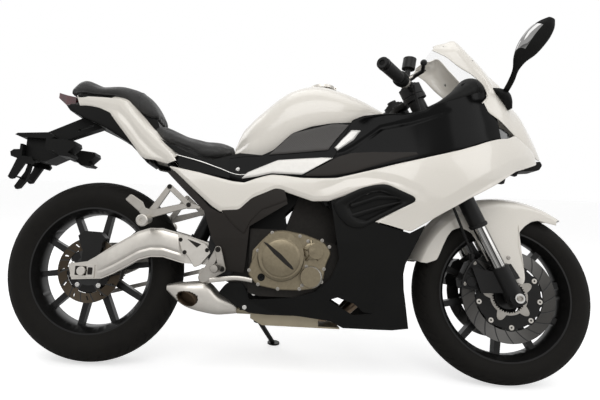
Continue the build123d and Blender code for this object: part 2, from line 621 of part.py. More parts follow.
def make_engine():
    """The open engine: cases, cylinders, side covers, radiator and exhaust."""
    case = slab([(550, 272), (585, 262), (780, 262), (850, 300), (862, 360), (836, 430), (700, 474),
                 (550, 474)],
                -150, 150)
    sump = slab([(590, 236), (760, 236), (780, 264), (585, 264)], -100, 100)
    gearbox = slab([(478, 300), (551, 280), (551, 474), (500, 470), (478, 430)], -122, 55)
    barrels = slab([(660, 460), (826, 420), (868, 560), (710, 600)], -112, 112)
    head = slab([(706, 598), (872, 556), (886, 608), (850, 640), (740, 654)], -120, 120)
    shaft = cross_rod(FRONT_SPROCKET_X, FRONT_SPROCKET_Z, 54, 92, 12)
    sprocket = cross_rod(FRONT_SPROCKET_X, FRONT_SPROCKET_Z, CHAIN_Y - 3, CHAIN_Y + 3, FRONT_SPROCKET_R - 9)
    engine = fused([case, sump, gearbox, barrels, head, shaft, sprocket] + stand_bracket())

    outline = [(602, 294), (744, 292), (775, 311), (792, 369), (782, 439), (710, 456), (619, 466),
               (590, 437), (562, 404), (558, 341)]
    clutch = fused([slab(outline, -172, -150), cross_rod(651, 393, -206, -150, 71),
                    cross_rod(651, 393, -210, -150, 52), cross_rod(744, 330, -200, -150, 31),
                    cross_rod(760, 409, -192, -150, 24)])
    left_plate = [(x, z) for x, z in outline]
    dynamo = fused([slab(left_plate, 150, 168), cross_rod(690, 375, 150, 196, 72),
                    cross_rod(690, 375, 150, 201, 50)])
    chain_cover = slab([(478, 345), (549.8, 330), (549.8, 450), (500, 452), (478, 425)], 95, 124)

    core = slab([(980, 420), (1012, 410), (1050, 610), (1018, 620)], -150, 150)
    tanks = [block((1000, 1036), (low, high), (430, 600)) for low, high in ((-170, -149), (149, 170))]
    radiator = fused([core] + tanks)

    headers = []
    for side in (-1, 1):
        route = [Vector(866, side * 48, 500), Vector(916, side * 48, 484), Vector(940, side * 48, 380),
                 Vector(925, side * 44, 262), Vector(870, side * 28, 206), Vector(800, side * 26, 200)]
        headers.append(pipe(route, 17, 34))
    headers.append(block((BOX_FRONT, BOX_FRONT + 32), (-50, 50), (180, 222)))
    header = fused(headers)
    box = slab([(560, 186), (600, 166), (BOX_FRONT, 166), (BOX_FRONT, 226), (600, 228), (560, 214)],
               -104, 62)
    shield = slab([(BOX_FRONT - 1, 166), (849, 166), (849, 171), (BOX_FRONT - 1, 171)], -104, 62)
    box = fused([box, shield, rod((TIP_FRONT, -90, 210), (566, -90, 210), 13)])
    tip = ruled([
        [(TIP_FRONT, -84, 224), (TIP_FRONT, -104, 226), (TIP_FRONT, -112, 214), (TIP_FRONT, -104, 200),
         (TIP_FRONT, -84, 198), (TIP_FRONT, -74, 210)],
        [(455, -80, 246), (455, -140, 250), (455, -158, 225), (455, -140, 197), (455, -80, 195),
         (455, -70, 220)],
        [(413, -88, 296), (413, -150, 299), (413, -172, 250), (413, -150, 203), (413, -88, 202),
         (413, -76, 250)],
        [(350, -98, 288), (350, -154, 291), (350, -176, 252), (350, -150, 218), (350, -100, 216),
         (350, -86, 250)],
        [(290, -112, 283), (290, -142, 284), (290, -150, 272), (290, -142, 262), (290, -112, 262),
         (290, -106, 272)],
    ])
    bore_axis = Vector(-0.42, -0.86, -0.29).normalized()
    outlet = Vector(352, -174, 246)
    tip = tip - rod(outlet - bore_axis * 40, outlet + bore_axis * 60, 18)
    return {
        "engine_block": engine,
        "engine_covers": [clutch, dynamo, chain_cover],
        "radiator": radiator,
        "exhaust_header": header,
        "exhaust_box": box,
        "exhaust_tip": tip,
    }


# ---------------------------------------------------------------- bodywork
# half widths of the bodywork: one row for each place along the bike, one column for each height
SKIN_Z = (150, 260, 350, 440, 520, 600, 680, 760, 840, 920, 1010)
SKIN = {
    180: (100, 120, 130, 140, 145, 140, 132, 126, 118, 108, 98),
    260: (100, 120, 130, 140, 150, 150, 138, 130, 120, 110, 100),
    420: (100, 125, 145, 160, 168, 166, 155, 142, 130, 120, 110),
    560: (105, 135, 158, 175, 182, 180, 168, 155, 145, 135, 125),
    700: (108, 160, 174, 188, 195, 194, 182, 168, 158, 148, 138),
    820: (110, 164, 182, 196, 204, 206, 194, 178, 168, 158, 148),
    950: (110, 158, 182, 200, 212, 219, 206, 188, 175, 165, 155),
    1080: (100, 140, 170, 192, 208, 224, 218, 196, 180, 170, 160),
    1200: (90, 120, 150, 175, 195, 212, 216, 198, 180, 166, 152),
    1300: (70, 90, 120, 150, 172, 186, 194, 184, 165, 148, 132),
    1400: (50, 65, 90, 115, 125, 132, 142, 144, 126, 104, 90),
    1480: (30, 40, 60, 75, 80, 86, 92, 98, 80, 55, 40),
    1550: (12, 14, 18, 22, 26, 30, 36, 40, 22, 10, 8),
}
TAIL_Z = (640, 700, 760, 820, 880, 960)
TAIL = {
    -200: (40, 46, 50, 54, 54, 46),
    -110: (60, 66, 70, 74, 74, 68),
    0: (78, 86, 92, 98, 98, 88),
    90: (92, 102, 110, 116, 114, 100),
    180: (112, 122, 126, 126, 120, 105),
    300: (134, 138, 134, 128, 120, 105),
}


def skin_panel(table, heights, outline, inset=0.0, holes=()):
    """A right and a left wall on the bodywork's surface, cut to outlines of (x, z) points."""
    xs = [x for x, z in outline]
    zs = [z for x, z in outline]
    places = sorted(table)
    first = max([k for k, x in enumerate(places) if x <= min(xs)] + [0])
    last = min([k for k, x in enumerate(places) if x >= max(xs)] + [len(places) - 1])
    low = max([k for k, z in enumerate(heights) if z <= min(zs)] + [0])
    high = min([k for k, z in enumerate(heights) if z >= max(zs)] + [len(heights) - 1])
    stations = []
    for x in places[first:last + 1]:
        stations.append((x, [(table[x][k] - inset, heights[k]) for k in range(low, high + 1)]))
    wall = strip(stations, PANEL_WALL)
    left = largest(wall.intersect(slab(outline, 0, 400)))
    for hole in holes:
        left = largest(left - slab(hole, 0, 400))
    return both_sides(left)


WHITE_TOP = [(265, 672), (298, 667), (366, 653), (483, 624), (524, 620), (575, 640), (612, 649),
             (709, 640), (818, 642), (865, 654), (1014, 695), (1208, 747), (1305, 783), (1350, 796),
             (1367, 793), (1425, 823), (1510, 773)]
WHITE_LOW = [(1523, 737), (1418, 699), (1326, 643), (1232, 593), (1134, 535), (1048, 482), (936, 510),
             (799, 569), (746, 566), (645, 599), (626, 599), (551, 566), (510, 527), (451, 523), (421, 541)]
VENT = [(799, 560), (799, 569), (901, 607), (958, 622), (1002, 604), (1049, 582), (1050, 572), (936, 510),
        (880, 500)]


def make_fairings():
    upper = [(716, 645), (813, 712), (810, 722), (833, 762), (874, 845), (909, 861), (964, 869), (1043, 872),
             (1108, 885), (1152, 914), (1231, 950), (1244, 994), (1280, 1005), (1300, 1000), (1331, 951),
             (1328, 938), (1307, 922), (1360, 874), (1362, 798), (1350, 799), (1305, 786), (1208, 750),
             (1014, 698), (865, 657), (818, 645)]
    belly = [(803, 569), (901, 604), (958, 619), (1002, 601), (1046, 580), (1046, 574), (936, 506),
             (1048, 478), (1094, 504), (1090, 493), (1039, 383), (1034, 352), (1039, 304), (1066, 179),
             (1014, 172), (857, 172), (816, 193), (720, 203), (524, 212), (544, 239), (557, 247),
             (694, 262), (763, 285), (809, 327), (833, 389)]
    vent_hole = [(858, 560), (905, 590), (950, 605), (1030, 582), (1030, 570), (946, 524), (892, 494),
                 (850, 500)]
    low_hole = [(806, 261), (833, 270), (885, 253), (918, 227), (951, 224), (885, 216)]
    vents = skin_panel(SKIN, SKIN_Z, vent_hole, 12)
    return {
        "side_fairings": skin_panel(SKIN, SKIN_Z, WHITE_TOP + WHITE_LOW, 0, [VENT]),
        "upper_fairings": skin_panel(SKIN, SKIN_Z, upper, 4),
        "belly_pan": skin_panel(SKIN, SKIN_Z, belly, 4, [vent_hole, low_hole]),
        "fairing_vents": vents,
    }


def make_middle():
    """The covers between the tank and the swingarm."""
    knee = [(603, 719), (678, 795), (806, 829), (860, 827), (817, 770), (794, 738)]
    trim = [(516, 635), (532, 655), (631, 700), (774, 711), (808, 710), (712, 652), (612, 655), (563, 643)]
    insert = [(814, 746), (869, 808), (899, 807), (876, 774), (824, 735)]
    seat_side = [(194, 786), (293, 717), (292, 689), (299, 672), (519, 627), (526, 661), (572, 684),
                 (631, 706), (603, 716), (503, 725), (474, 716), (415, 700), (369, 706), (306, 732)]
    cover = [(256, 656), (289, 657), (415, 536), (451, 519), (510, 523), (551, 562), (626, 595), (650, 595),
             (668, 556), (548, 480), (538, 357), (534, 331), (479, 335), (442, 410), (427, 435), (396, 524)]
    trims = skin_panel(SKIN, SKIN_Z, knee, 2) + skin_panel(SKIN, SKIN_Z, trim, 2)
    trims += skin_panel(SKIN, SKIN_Z, insert, 0.8)
    return {
        "tank_trims": trims,
        "seat_side_panels": skin_panel(SKIN, SKIN_Z, seat_side, 12),
        "frame_covers": skin_panel(SKIN, SKIN_Z, cover, 6),
    }


def crown_section(x, top, wide_z, half, low_z, low_half):
    """A closed section of a tank or a seat: a round crown over straight sides."""
    points = []
    for step in range(7):
        angle = math.radians(15 * step)
        y = half * math.sin(angle) ** 0.8
        points.append((x, y, wide_z + (top - wide_z) * math.cos(angle) ** 0.75))
    points[-1] = (x, half, wide_z)
    points.append((x, low_half, low_z))
    left = [(x, -y, z) for x, y, z in points[::-1]]
    return points + left[:-1]


def make_top():
    """The tank with its filler, the seats and the tail."""
    # x, then below the tank's top: its crown, its widest line with the half width, its lower edge with the half width
    tank_rows = [(488, 202, 252, 62, 276, 70), (530, 160, 227, 95, 275, 105), (617, 74, 202, 128, 274, 118),
                 (706, 17, 162, 146, 262, 120), (772, 0, 144, 152, 250, 122), (852, 17, 130, 150, 227, 122),
                 (925, 47, 130, 138, 202, 112), (990, 90, 130, 116, 172, 95)]
    tank = ruled([crown_section(x, TANK_TOP - top, TANK_TOP - wide, half, TANK_TOP - low, low_half)
                  for x, top, wide, half, low, low_half in tank_rows])
    ring = rod((CAP_X, 0, CAP_BASE - 30), (CAP_X, 0, CAP_BASE), CAP_R + 10)
    tank = tank.fuse(ring)
    tank = tank - rod((CAP_X, 0, CAP_BASE - 24), (CAP_X, 0, CAP_BASE + 1), 24)
    hinge = [cross_rod(CAP_HINGE_X, CAP_HINGE_Z, -18, 18, CAP_PIN_R)]
    for low, high in ((-18, -13), (13, 18)):
        hinge.append(cross_rod(CAP_HINGE_X, CAP_HINGE_Z, low, high, 4))
        hinge.append(block((CAP_HINGE_X - 3, CAP_HINGE_X + 4), (low, high), (CAP_BASE - 8, CAP_HINGE_Z)))
    tank = tank.fuse(*hinge)

    # x, crown, height of the widest line, half width there, lower edge, half width there
    rider_rows = [(165, 838, 826, 60, 808, 55), (212, 832, 806, 112, 780, 105),
                  (319, 792, 762, 132, 733, 122), (385, 780, 744, 128, 712, 118),
                  (430, 780, 738, 110, 712, 100), (478, 776, 745, 62, 731, 58)]
    rider = ruled([crown_section(*row) for row in rider_rows])
    pillion_rows = [(-152, 972, 955, 50, 944, 48), (-118, 998, 965, 72, 944, 66),
                    (-20, 980, 955, 92, 936, 84), (78, 974, 942, 104, 916, 96),
                    (141, 952, 905, 104, 868, 98), (176, 922, 882, 100, 853, 94),
                    (204, 874, 860, 80, 851, 78)]
    pillion = ruled([crown_section(*row) for row in pillion_rows])

    cowl = [(-112, 937), (66, 914), (89, 904), (151, 823), (198, 779), (284, 697), (289, 675), (256, 683),
            (212, 694), (171, 699), (157, 708), (121, 751), (28, 861), (-47, 886), (-94, 893)]
    lamp = ruled([[(x, s * w, z) for s, z in ((-1, z0), (-1, z1), (1, z1), (1, z0))] for x, w, z0, z1 in
                  ((-190, 46, 932, 952), (-156, 54, 904, 941), (-122, 52, 908, 935))])
    tray_outline = [(-150, 900), (-134, 880), (-92, 860), (2, 820), (99, 764), (168, 694), (176, 700),
                    (112, 776), (14, 840), (-84, 880), (-122, 900)]
    tray = slab(tray_outline, -64, 64)
    arm_outline = [(-60, 858), (-92, 872), (-233, 807), (-290, 800), (-290, 776), (-190, 766), (-150, 783),
                   (-26, 830)]
    arm = slab(arm_outline, -16, 16)
    arm = arm - slab([(-118, 813), (-59, 836), (-59, 844), (-118, 821)], -17, 17)
    hood = slab([(-327, 783), (-318, 789), (-201, 795), (-178, 778), (-196, 771), (-300, 774)], -66, 66)
    bracket = slab([(-294, 780), (-190, 780), (-164, 745), (-162, 716), (-215, 690), (-258, 694), (-294, 712)],
                   -42, 42)
    board = slab([(-290, 748), (-300, 748), (-300, 700), (-310, 686), (-297, 682), (-290, 696)], -70, 70)
    finger = slab([(-284, 700), (-296, 700), (-307, 655), (-329, 620), (-341, 600), (-334, 590), (-320, 594),
                   (-300, 622), (-291, 655)], -8, 8)
    holder = [tray, arm, hood, bracket, board, finger, cross_rod(-310, 630, -62, 62, 3)]
    for low, high in ((-70, -56), (56, 70)):
        holder.append(slab([(-300, 728), (-322, 727), (-334, 718), (-330, 702), (-306, 694), (-331, 627),
                            (-322, 619), (-310, 622), (-276, 680), (-252, 674), (-244, 686), (-252, 700),
                            (-290, 704), (-290, 728)], low, high))
    for low, high in ((-118, -60), (60, 118)):
        holder.append(slab([(-182, 760), (-120, 757), (-78, 752), (-74, 738), (-100, 712), (-84, 704),
                            (-92, 696), (-130, 700), (-150, 716), (-182, 722)], low, high))
    holder.append(cross_rod(-172, 740, -64, 64, 7))
    tray = fused(holder)
    for side in (-1, 1):
        across = side * PLATE_BOLT_SPACING / 2
        tray = tray - rod((-320, across, PLATE_BOLT_Z), (-280, across, PLATE_BOLT_Z), PLATE_BOLT_R)
    return {
        "fuel_tank": tank,
        "rider_seat": rider,
        "pillion_seat": pillion,
        "tail_cowl": skin_panel(TAIL, TAIL_Z, cowl),
        "tail_lamp": lamp,
        "rear_fender": tray,
    }


def make_nose():
    """The white nose with its screen wings, the lamp, the screen, the clocks and the mirrors."""
    arch_rows = [
        (1436, [(106, 820), (103, 870), (90, 914), (64, 954), (30, 971), (0, 975)]),
        (1475, [(86, 797), (86, 838), (76, 878), (52, 913), (24, 929), (0, 933)]),
        (1510, [(62, 776), (62, 806), (55, 834), (38, 862), (18, 879), (0, 884)]),
        (1540, [(36, 762), (37, 782), (33, 798), (24, 812), (12, 820), (0, 822)]),
        (1562, [(12, 764), (13, 769), (12, 774), (9, 779), (5, 782), (0, 783)]),
    ]
    arch = strip([(x, half + [(-y, z) for y, z in half[-2::-1]]) for x, half in arch_rows], PANEL_WALL)
    side_rows = [
        (1170, [(106, 1134), (103, 1138), (99, 1142), (95, 1147)]),
        (1191, [(111, 1122), (103, 1138), (92, 1151), (78, 1163)]),
        (1216, [(116, 1108), (107, 1132), (94, 1152), (78, 1169)]),
        (1250, [(123, 1086), (115, 1120), (99, 1152), (77, 1178)]),
        (1291, [(132, 1050), (123, 1080), (105, 1108), (79, 1133)]),
        (1331, [(138, 952), (130, 1010), (111, 1052), (80, 1086)]),
        (1365, [(135, 878), (130, 940), (112, 992), (79, 1047)]),
        (1404, [(122, 843), (118, 905), (104, 952), (78, 1006)]),
        (1436, [(106, 820), (103, 870), (90, 914), (64, 954)]),
        (1445, [(100.8, 814.7), (98.5, 862.4), (86.3, 905.2), (60.9, 943.9)]),
    ]
    side = strip(side_rows, PANEL_WALL)
    nose = fused([arch] + both_sides(side))

    screen_rows = [
        (1194, [(74, 1158), (40, 1168), (0, 1172)]),
        (1250, [(73, 1173), (40, 1184), (0, 1188)]),
        (1292, [(75, 1128), (40, 1142), (0, 1147)]),
        (1333, [(76, 1080), (40, 1096), (0, 1101)]),
        (1400, [(74, 1004), (40, 1024), (0, 1030)]),
        (1434, [(62, 950), (36, 976), (0, 984)]),
    ]
    screen = strip([(x, half + [(-y, z) for y, z in half[-2::-1]]) for x, half in screen_rows], 2.5)
    lamp = ruled([[(x, s * w, z) for s, z in ((-1, z0), (-1, z1), (1, z1), (1, z0))] for x, w, z0, z1 in
                  ((1352, 118, 790, 862), (1404, 108, 786, 838), (1450, 88, 780, 806),
                   (1500, 50, 756, 774))])
    dash = slab([(1222, 928), (1262, 1006), (1288, 996), (1252, 916)], -74, 74)
    dash = dash - rod(*STAY_TO_DASH, STAY_R + RUNNING_GAP)
    lamp = lamp - rod(*STAY_TO_LAMP, STAY_R + RUNNING_GAP)
    mirrors = []
    stalk = fused([rod((1390, 116, 966), (1388, 165, 972), 12), rod((1388, 165, 972), (1384, 236, 1028), 9),
                   Solid.make_sphere(12, Plane(origin=(1388, 165, 972)))])
    # middle of the housing, half depth along the view line, half width across it
    head_rows = [((1366, 232, 1002), 10, 10), ((1386, 246, 1040), 20, 26), ((1414, 264, 1088), 22, 34),
                 ((1442, 284, 1128), 16, 28), ((1456, 296, 1148), 6, 12)]
    sections = []
    for middle, depth, width in head_rows:
        deep = Vector(0.80, 0, -0.42).normalized() * width
        wide = Vector(0.10, 0.9, 0.2).normalized() * depth
        corners = [Vector(middle) + deep * a + wide * b for a, b in
                   ((1, 0.5), (0.5, 1), (-0.5, 1), (-1, 0.5), (-1, -0.5), (-0.5, -1), (0.5, -1), (1, -0.5))]
        sections.append([tuple(c) for c in corners])
    head = ruled(sections)
    mirror = stalk.fuse(head)
    return {
        "nose_cowl": nose,
        "windscreen": screen,
        "headlight": lamp,
        "dashboard": dash,
        "mirrors": both_sides(mirror),
    }


def make_footrests():
    plate = [(319, 451), (409, 421), (440, 400), (462, 410), (479, 338), (466, 328), (389, 324), (329, 397)]
    window = [(352, 410), (412, 392), (432, 360), (400, 345), (364, 392)]
    rearsets, pillion = [], []
    for side in (-1, 1):
        bracket = slab(plate, 154.5, 166) - slab(window, 150, 170)
        pedal = [(448, 316), (487, 318), (563, 318), (563, 330), (487, 330), (448, 334)]
        toe = cross_rod(556, 324, 176, 236, 7)
        rearset = fused([bracket, cross_rod(452, 345, 160, 262, 11), slab(pedal, 170, 178), toe,
                         cross_rod(456, 325, 160, 176, 10),
                         cross_rod(430, 350, PLATE_Y + 10, 158, 8),
                         cross_rod(426, 398, PLATE_Y + 10, 158, 8)])
        rearsets.append(rearset if side > 0 else mirrored(rearset))
        bar = fused([pipe([(276, 140, 628), (262, 158, 560), (236, 168, 508)], 8, 30),
                     pipe([(380, 144, 536), (310, 160, 522), (236, 168, 508)], 8, 30),
                     rod((238, 162, 507), (243, 262, 488), 11)])
        pillion.append(bar if side > 0 else mirrored(bar))
    return {"rearsets": rearsets, "pillion_footrests": pillion}


def make_stand_and_cap():
    pivot = Vector(*STAND_PIVOT)
    tilt = math.radians(LEAN)
    ground = Vector(STAND_FOOT[0], STAND_FOOT[1], STAND_FOOT[1] * math.tan(tilt))
    along = (ground - pivot).normalized()
    axis = stand_axis()
    leg = rod(pivot, ground - along * 10, STAND_R)
    knuckle = rod(pivot - axis * STAND_R, pivot + axis * STAND_R, 16)
    up = Vector(0, -math.sin(tilt), math.cos(tilt))
    foot = rod(ground, ground + up * 6, 24)
    stand = fused([leg, knuckle, foot])
    stand = stand - rod(pivot - axis * 20, pivot + axis * 20, STAND_PIN_R + RUNNING_GAP)

    lid = rod((CAP_X, 0, CAP_BASE + 0.5), (CAP_X, 0, CAP_BASE + CAP_HEIGHT), CAP_R)
    hinge = cross_rod(CAP_HINGE_X, CAP_HINGE_Z, -12, 12, 5)
    lid = lid.fuse(hinge, block((CAP_X + CAP_R - 8, CAP_HINGE_X), (-11, 11), (CAP_BASE + 2, CAP_BASE + 9)))
    lid = lid - cross_rod(CAP_HINGE_X, CAP_HINGE_Z, -13, 13, CAP_PIN_R + RUNNING_GAP)
    return {"side_stand": stand, "fuel_cap": lid}


def stand_axis():
    """The side stand's hinge axis, tilted so that the leg swings from splayed to tucked in."""
    turn = math.radians(STAND_AXIS_TILT)
    return Vector(0, math.cos(turn), math.sin(turn))


# ---------------------------------------------------------------- placing
def upright_nodes():
    """Every node in the bike frame."""
    nodes = {}
    for make in (make_front_wheel, make_rear_wheel, make_steering, make_front_fender, make_controls,
                 make_rear_end, make_frame, make_engine, make_fairings, make_middle, make_top, make_nose,
                 make_footrests, make_stand_and_cap):
        nodes.update(make())
    return nodes


def leaned(shape):
    """The shape leaned to the left about the line between the tyres' contact points."""
    return shape.rotate(Axis.X, -LEAN)


def placed_nodes():
    """Every node leaned and moved so that the origin is below the middle of the bike."""
    nodes = {}
    for name, shape in upright_nodes().items():
        solids = shape if isinstance(shape, list) else [shape]
        nodes[name] = Compound([leaned(solid) for piece in solids for solid in piece.solids()])
    whole = Compound(list(nodes.values())).bounding_box()
    shift = Vector(-(whole.min.X + whole.max.X) / 2, -(whole.min.Y + whole.max.Y) / 2, -whole.min.Z)
    return {name: shape.moved(Location(shift)) for name, shape in nodes.items()}, shift


def main():
    os.makedirs("parts", exist_ok=True)
    nodes, shift = placed_nodes()
    for name, shape in nodes.items():
        export_step(shape, f"parts/{name}.step")
    print(len(nodes), "nodes, origin shift", shift)


if __name__ == "__main__":
    main()
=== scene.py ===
"""The looks of a sport bike on its side stand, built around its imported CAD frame.

Sizes are in millimetres in the bike's own upright frame (+X forward, +Y to the rider's left, +Z up,
origin on the ground below the rear axle) and are leaned and moved into the row frame as each mesh is
made."""
import bmesh
import bpy
import json
import math
import numpy as np
from mathutils import Matrix, Vector
from mathutils.bvhtree import BVHTree
from numpy.linalg import norm


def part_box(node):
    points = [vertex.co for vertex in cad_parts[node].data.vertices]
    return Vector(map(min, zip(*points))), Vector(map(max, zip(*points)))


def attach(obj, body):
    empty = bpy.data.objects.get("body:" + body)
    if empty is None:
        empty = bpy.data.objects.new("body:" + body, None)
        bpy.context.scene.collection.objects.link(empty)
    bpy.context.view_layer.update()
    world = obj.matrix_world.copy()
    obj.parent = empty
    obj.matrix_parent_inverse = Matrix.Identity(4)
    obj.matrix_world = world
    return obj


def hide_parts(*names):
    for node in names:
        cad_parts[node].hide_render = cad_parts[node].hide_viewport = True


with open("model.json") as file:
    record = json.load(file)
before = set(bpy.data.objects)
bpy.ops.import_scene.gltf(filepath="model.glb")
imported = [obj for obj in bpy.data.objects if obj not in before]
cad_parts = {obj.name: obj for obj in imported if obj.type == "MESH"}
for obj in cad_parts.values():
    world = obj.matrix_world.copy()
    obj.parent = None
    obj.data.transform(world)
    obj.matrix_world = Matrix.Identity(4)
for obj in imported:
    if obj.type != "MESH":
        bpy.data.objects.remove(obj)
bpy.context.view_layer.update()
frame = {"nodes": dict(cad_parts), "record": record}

LEAN = math.radians(9.1)
FRONT_AXLE = np.array([1405.0, 0.0, 292.0])
REAR_AXLE = np.array([0.0, 0.0, 313.0])
REAR_DISC_FACE = 70.5
LEFT, RIGHT = (0, 1, 0), (0, -1, 0)
RAKE = math.radians(25)
FORK_UP = np.array([-math.sin(RAKE), 0, math.cos(RAKE)])
tyre_low, tyre_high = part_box("rear_tyre")
tyre_centre = np.array((tyre_low + tyre_high) / 2) * 1000
SHIFT = tyre_centre - REAR_AXLE[2] * np.array([0, math.sin(LEAN), math.cos(LEAN)])


def placed(points):
    """Bike frame millimetres to row frame metres: leaned about X by y' = y cos + z sin, z' = z cos - y
    sin, then moved."""
    p = np.asarray(points, float)
    y = p[..., 1] * math.cos(LEAN) + p[..., 2] * math.sin(LEAN)
    z = p[..., 2] * math.cos(LEAN) - p[..., 1] * math.sin(LEAN)
    return (np.stack([p[..., 0], y, z], -1) + SHIFT) / 1000


# ---------------- shaders
class Val:
    """A node's output that takes plain arithmetic, on either side of a number."""

    def __init__(self, finish, out):
        self.finish, self.out = finish, out

    def math(self, operation, *others):
        return self.finish.node("Math", {"operation": operation}, dict(enumerate((self,) + others)))

    def __add__(self, other):
        return self.math("ADD", other)

    def __mul__(self, other):
        return self.math("MULTIPLY", other)

    def __sub__(self, other):
        return self.math("SUBTRACT", other)

    def __rsub__(self, other):
        return self * -1 + other

    def __pow__(self, other):
        return self.math("POWER", other)

    __radd__, __rmul__ = __add__, __mul__

    def step(self, low, high):
        """0 below low, 1 above high, smooth between them."""
        return self.finish.node("MapRange", {"interpolation_type": "SMOOTHSTEP"}, {0: self, 1: low, 2: high})


class Finish:
    """The nodes of a new material, or of a given owner: node() adds one, and surface() ends them with
    Principled."""

    def __init__(self, name, owner=None):
        self.owner = owner or bpy.data.materials.new(name)
        self.owner.use_nodes = True
        self.tree = self.owner.node_tree
        self.tree.nodes.clear()

    def node(self, kind, settings=None, values=None, out=0):
        made = self.tree.nodes.new("ShaderNode" + kind)
        for key, value in (settings or {}).items():
            setattr(made, key, value)
        for key, value in (values or {}).items():
            socket = made.inputs[key]
            if isinstance(value, Val):
                self.tree.links.new(value.out, socket)
            else:
                short = hasattr(socket.default_value, "__len__") and len(value) < len(socket.default_value)
                socket.default_value = (*value, 1) if short else value
        return Val(self, made.outputs[out]) if made.outputs else None

    def where(self):
        """The row frame place in metres."""
        return self.node("TexCoord", out=3)

    def bike(self, centre=(0, 0, 0), turn=0.0):
        """The x, y and z of the place in the upright bike frame, in metres from a centre in millimetres,
        turned about Y by an angle in degrees."""
        back = Matrix.Rotation(LEAN, 3, "X") @ Vector(SHIFT / 1000) + Vector(centre) / 1000
        spot = self.node("Mapping", values={0: self.where(), 1: tuple(-back), 2: (LEAN, 0, 0)})
        spot = self.node("Mapping", values={0: spot, 2: (0, math.radians(turn), 0)})
        return [self.node("SeparateXYZ", values={0: spot}, out=k) for k in range(3)]

    def noise(self, scale, detail):
        return self.node("TexNoise", values={"Vector": self.where(), "Scale": scale, "Detail": detail})

    def lines(self, along, scale, detail):
        """Noise that changes along one measure only."""
        return self.node("TexNoise", {"noise_dimensions": "1D"},
                         {"W": along, "Scale": scale, "Detail": detail})

    def cells(self, scale, feature="F1"):
        return self.node("TexVoronoi", {"feature": feature}, {"Vector": self.where(), "Scale": scale})

    def mix(self, factor, low, high):
        """A colour from low to high."""
        return self.node("Mix", {"data_type": "RGBA"}, {0: factor, 6: low, 7: high}, 2)

    def bump(self, height, distance):
        return self.node("Bump", values={"Height": height, "Distance": distance, "Strength": 1.0})

    def surface(self, **sockets):
        names = {"color": "Base Color", "rough": "Roughness", "metal": "Metallic", "coat": "Coat Weight",
                 "coat_rough": "Coat Roughness", "normal": "Normal", "alpha": "Alpha", "ior": "IOR",
                 "sheen": "Sheen Weight", "glow": "Emission Color", "glow_strength": "Emission Strength",
                 "specular": "Specular IOR Level"}
        shader = self.node("BsdfPrincipled", values={names[key]: value for key, value in sockets.items()})
        self.node("OutputMaterial", values={0: shader})
        return self.owner


def pearl_white():
    """Warm white with a slow haze, a flake that roughens it and a clear coat."""
    finish = Finish("pearl_white")
    haze = finish.noise(2.2, 2)
    flake = finish.cells(900)
    color = finish.mix(haze * 0.6, (0.835, 0.792, 0.715), (0.875, 0.834, 0.760))
    return finish.surface(color=color, rough=flake * 0.05 + 0.24, coat=0.7, coat_rough=0.05,
                          normal=finish.bump(finish.noise(60, 2), 0.00004), specular=0.5)


def plastic(name, low, high, rough, scale, depth, specular=0.25):
    """Two close shades mixed by slow noise, which also roughens them, over a fine grain."""
    finish = Finish(name)
    worn = finish.noise(5, 3)
    return finish.surface(color=finish.mix(worn, low, high), rough=worn * 0.14 + rough, specular=specular,
                          normal=finish.bump(finish.noise(scale, 4), depth))


def metal(name, low, high, rough, scale=160, depth=0.00008, metallic=1.0, specular=0.5):
    """Two close shades mixed by slow noise, their roughness and grain from noise eight times as fine."""
    finish = Finish(name)
    worn = finish.noise(scale / 8, 4)
    fine = finish.noise(scale, 4)
    return finish.surface(color=finish.mix(worn, low, high), rough=fine * 0.16 + rough, metal=metallic,
                          specular=specular, normal=finish.bump(fine, depth))


def tyre_rubber(name, centre):
    """Rubber with fine rings on the sidewall, by the radius from the wheel's centre."""
    finish = Finish(name)
    x, y, z = finish.bike(centre)
    radius = (x * x + z * z) ** 0.5
    rings = (radius * 1700).math("SINE")
    dust = finish.noise(30, 4)
    color = finish.mix(dust, (0.006, 0.0055, 0.005), (0.015, 0.0138, 0.012))
    normal = finish.bump(rings * 0.5 + finish.noise(500, 3), 0.00015)
    return finish.surface(color=color, rough=dust * 0.2 + 0.62, normal=normal, specular=0.12)


def ground_disc(name, centre, low, high, hub, slots, lean):
    """Steel ground in circles about the wheel's centre, with two bright fans of painted highlight, black
    inside the hub radius in mm, with curved dark slots."""
    finish = Finish(name)
    x, y, z = finish.bike(centre)
    radius = (x * x + z * z) ** 0.5
    lines = finish.lines(radius, 2600, 3)
    stain = finish.noise(24, 4)
    angle = z.math("ARCTAN2", x)
    turns = angle * (slots / (2 * math.pi)) + (radius - hub / 1000) * lean
    from_slot = (turns.math("FRACT") - 0.5).math("ABSOLUTE") * radius * (2 * math.pi / slots)
    steel = from_slot.step(0.0017, 0.0026) * radius.step(hub / 1000 - 0.0005, hub / 1000)
    # painted highlight: two bright fans by angle, mixed into the steel's colour together with a real stain
    painted_highlight_fans = ((angle * 2 - 2.6).math("COSINE") * 0.5 + 0.5) ** 2.0
    color = finish.mix(steel, (0.006, 0.006, 0.006), finish.mix(painted_highlight_fans * 0.75 + stain * 0.2, low, high))
    return finish.surface(color=color, rough=lines * 0.2 + 0.24, metal=steel * 0.9 + 0.05,
                          normal=finish.bump(lines * 0.1 + steel, 0.0006))


def vinyl():
    """Black vinyl with a fine cell grain."""
    finish = Finish("seat_vinyl")
    cells = finish.cells(520, feature="DISTANCE_TO_EDGE")
    creases = finish.noise(45, 4)
    height = cells.step(0.0, 0.25) + creases * 0.5
    color = finish.mix(creases, (0.008, 0.0078, 0.0072), (0.018, 0.017, 0.0155))
    return finish.surface(color=color, rough=creases * 0.2 + 0.42, normal=finish.bump(height, 0.00022),
                          sheen=0.15, specular=0.4)


